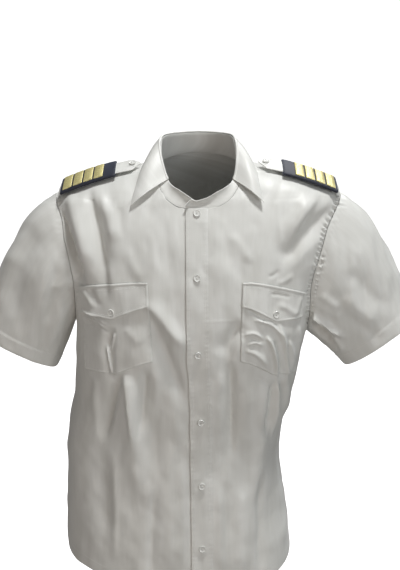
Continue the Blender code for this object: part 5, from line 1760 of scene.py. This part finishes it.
def make_floor():
    """A pale bowl-shaped floor that only the camera sees."""
    floor_z, radius, curve, height = -0.86, 5.0, 1.6, 6.0
    profile = [(0.0, floor_z)]
    for degrees in range(0, 91, 6):
        turn = math.radians(degrees)
        reach = radius - curve + curve * math.sin(turn)
        profile.append((reach, floor_z + curve * (1 - math.cos(turn))))
    profile.append((radius, floor_z + height))
    sides = 96
    points = [(0.0, 0.0, floor_z)]
    for reach, z in profile[1:]:
        for k in range(sides):
            turn = 2 * math.pi * k / sides
            points.append((reach * math.cos(turn), reach * math.sin(turn), z))
    faces = [(0, 1 + k, 1 + (k + 1) % sides) for k in range(sides)]
    for ring in range(len(profile) - 2):
        for k in range(sides):
            a, b = 1 + ring * sides + k, 1 + ring * sides + (k + 1) % sides
            faces.append((a, a + sides, b + sides, b))
    mesh = bpy.data.meshes.new("floor")
    mesh.from_pydata(points, [], faces)
    mesh.shade_smooth()
    nodes = Nodes("pale_floor")
    nodes.set(Base_Color=(0.85, 0.85, 0.85, 1), Roughness=0.9)
    nodes.set(Emission_Color=(1, 1, 1, 1), Emission_Strength=0.93)
    mesh.materials.append(nodes.material)
    floor = bpy.data.objects.new("floor", mesh)
    bpy.context.collection.objects.link(floor)
    floor.visible_diffuse = False
    floor.visible_glossy = False
    floor.visible_shadow = False


def make_lights():
    """Soft lights and an even sky."""
    for light in LIGHTS:
        area_light(*light)
    world = bpy.data.worlds.new("sky")
    world.use_nodes = True
    sky = world.node_tree.nodes["Background"].inputs
    sky["Color"].default_value = SKY_COLOUR
    sky["Strength"].default_value = SKY_STRENGTH
    bpy.context.scene.world = world
    bpy.context.scene.view_settings.view_transform = "Standard"


def main():
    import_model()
    make_camera()
    make_floor()
    make_lights()
    cloth, thread = cloth_material(), thread_material()
    board, braid, pearl = board_material(), braid_material(), pearl_material()
    fronts = {name: Panel("front", side, front_tables(side)) for name, side in SIDES.items()}
    back = Panel("back", 0, back_tables())
    seams = {name: Thread() for name in ("front_left", "front_right", "back", "collar", "straps", "boards")}
    for name, panel in fronts.items():
        seam = seams[f"front_{name}"]
        make_front(name, panel, cloth)
        make_pocket(name, panel, cloth, seam)
        make_flap(name, panel, cloth, seam)
        make_sleeve(name, panel, back, cloth, seam)
        sew_hem(seam, panel, COLUMN_PLACKET_END, COLUMN_EDGE)
    make_placket(fronts["left"], cloth, seams["front_left"])
    make_yoke_and_back(back, cloth, seams["back"])
    make_stand(fronts["left"], fronts["right"], back, cloth, seams["collar"])
    make_leaf(cloth, seams["collar"])
    curve = strap_curve()
    for name, side in SIDES.items():
        make_strap(name, side, curve, cloth, seams["straps"])
        make_board(name, side, curve, board, seams["boards"])
        make_bars(name, side, curve, braid)
    make_buttons(fronts, curve, pearl, thread)
    for name, gathered in seams.items():
        finish = (board, "board_cloth") if name == "boards" else (thread, "white_cloth")
        gathered.build(f"stitching_{name}", *finish)


main()
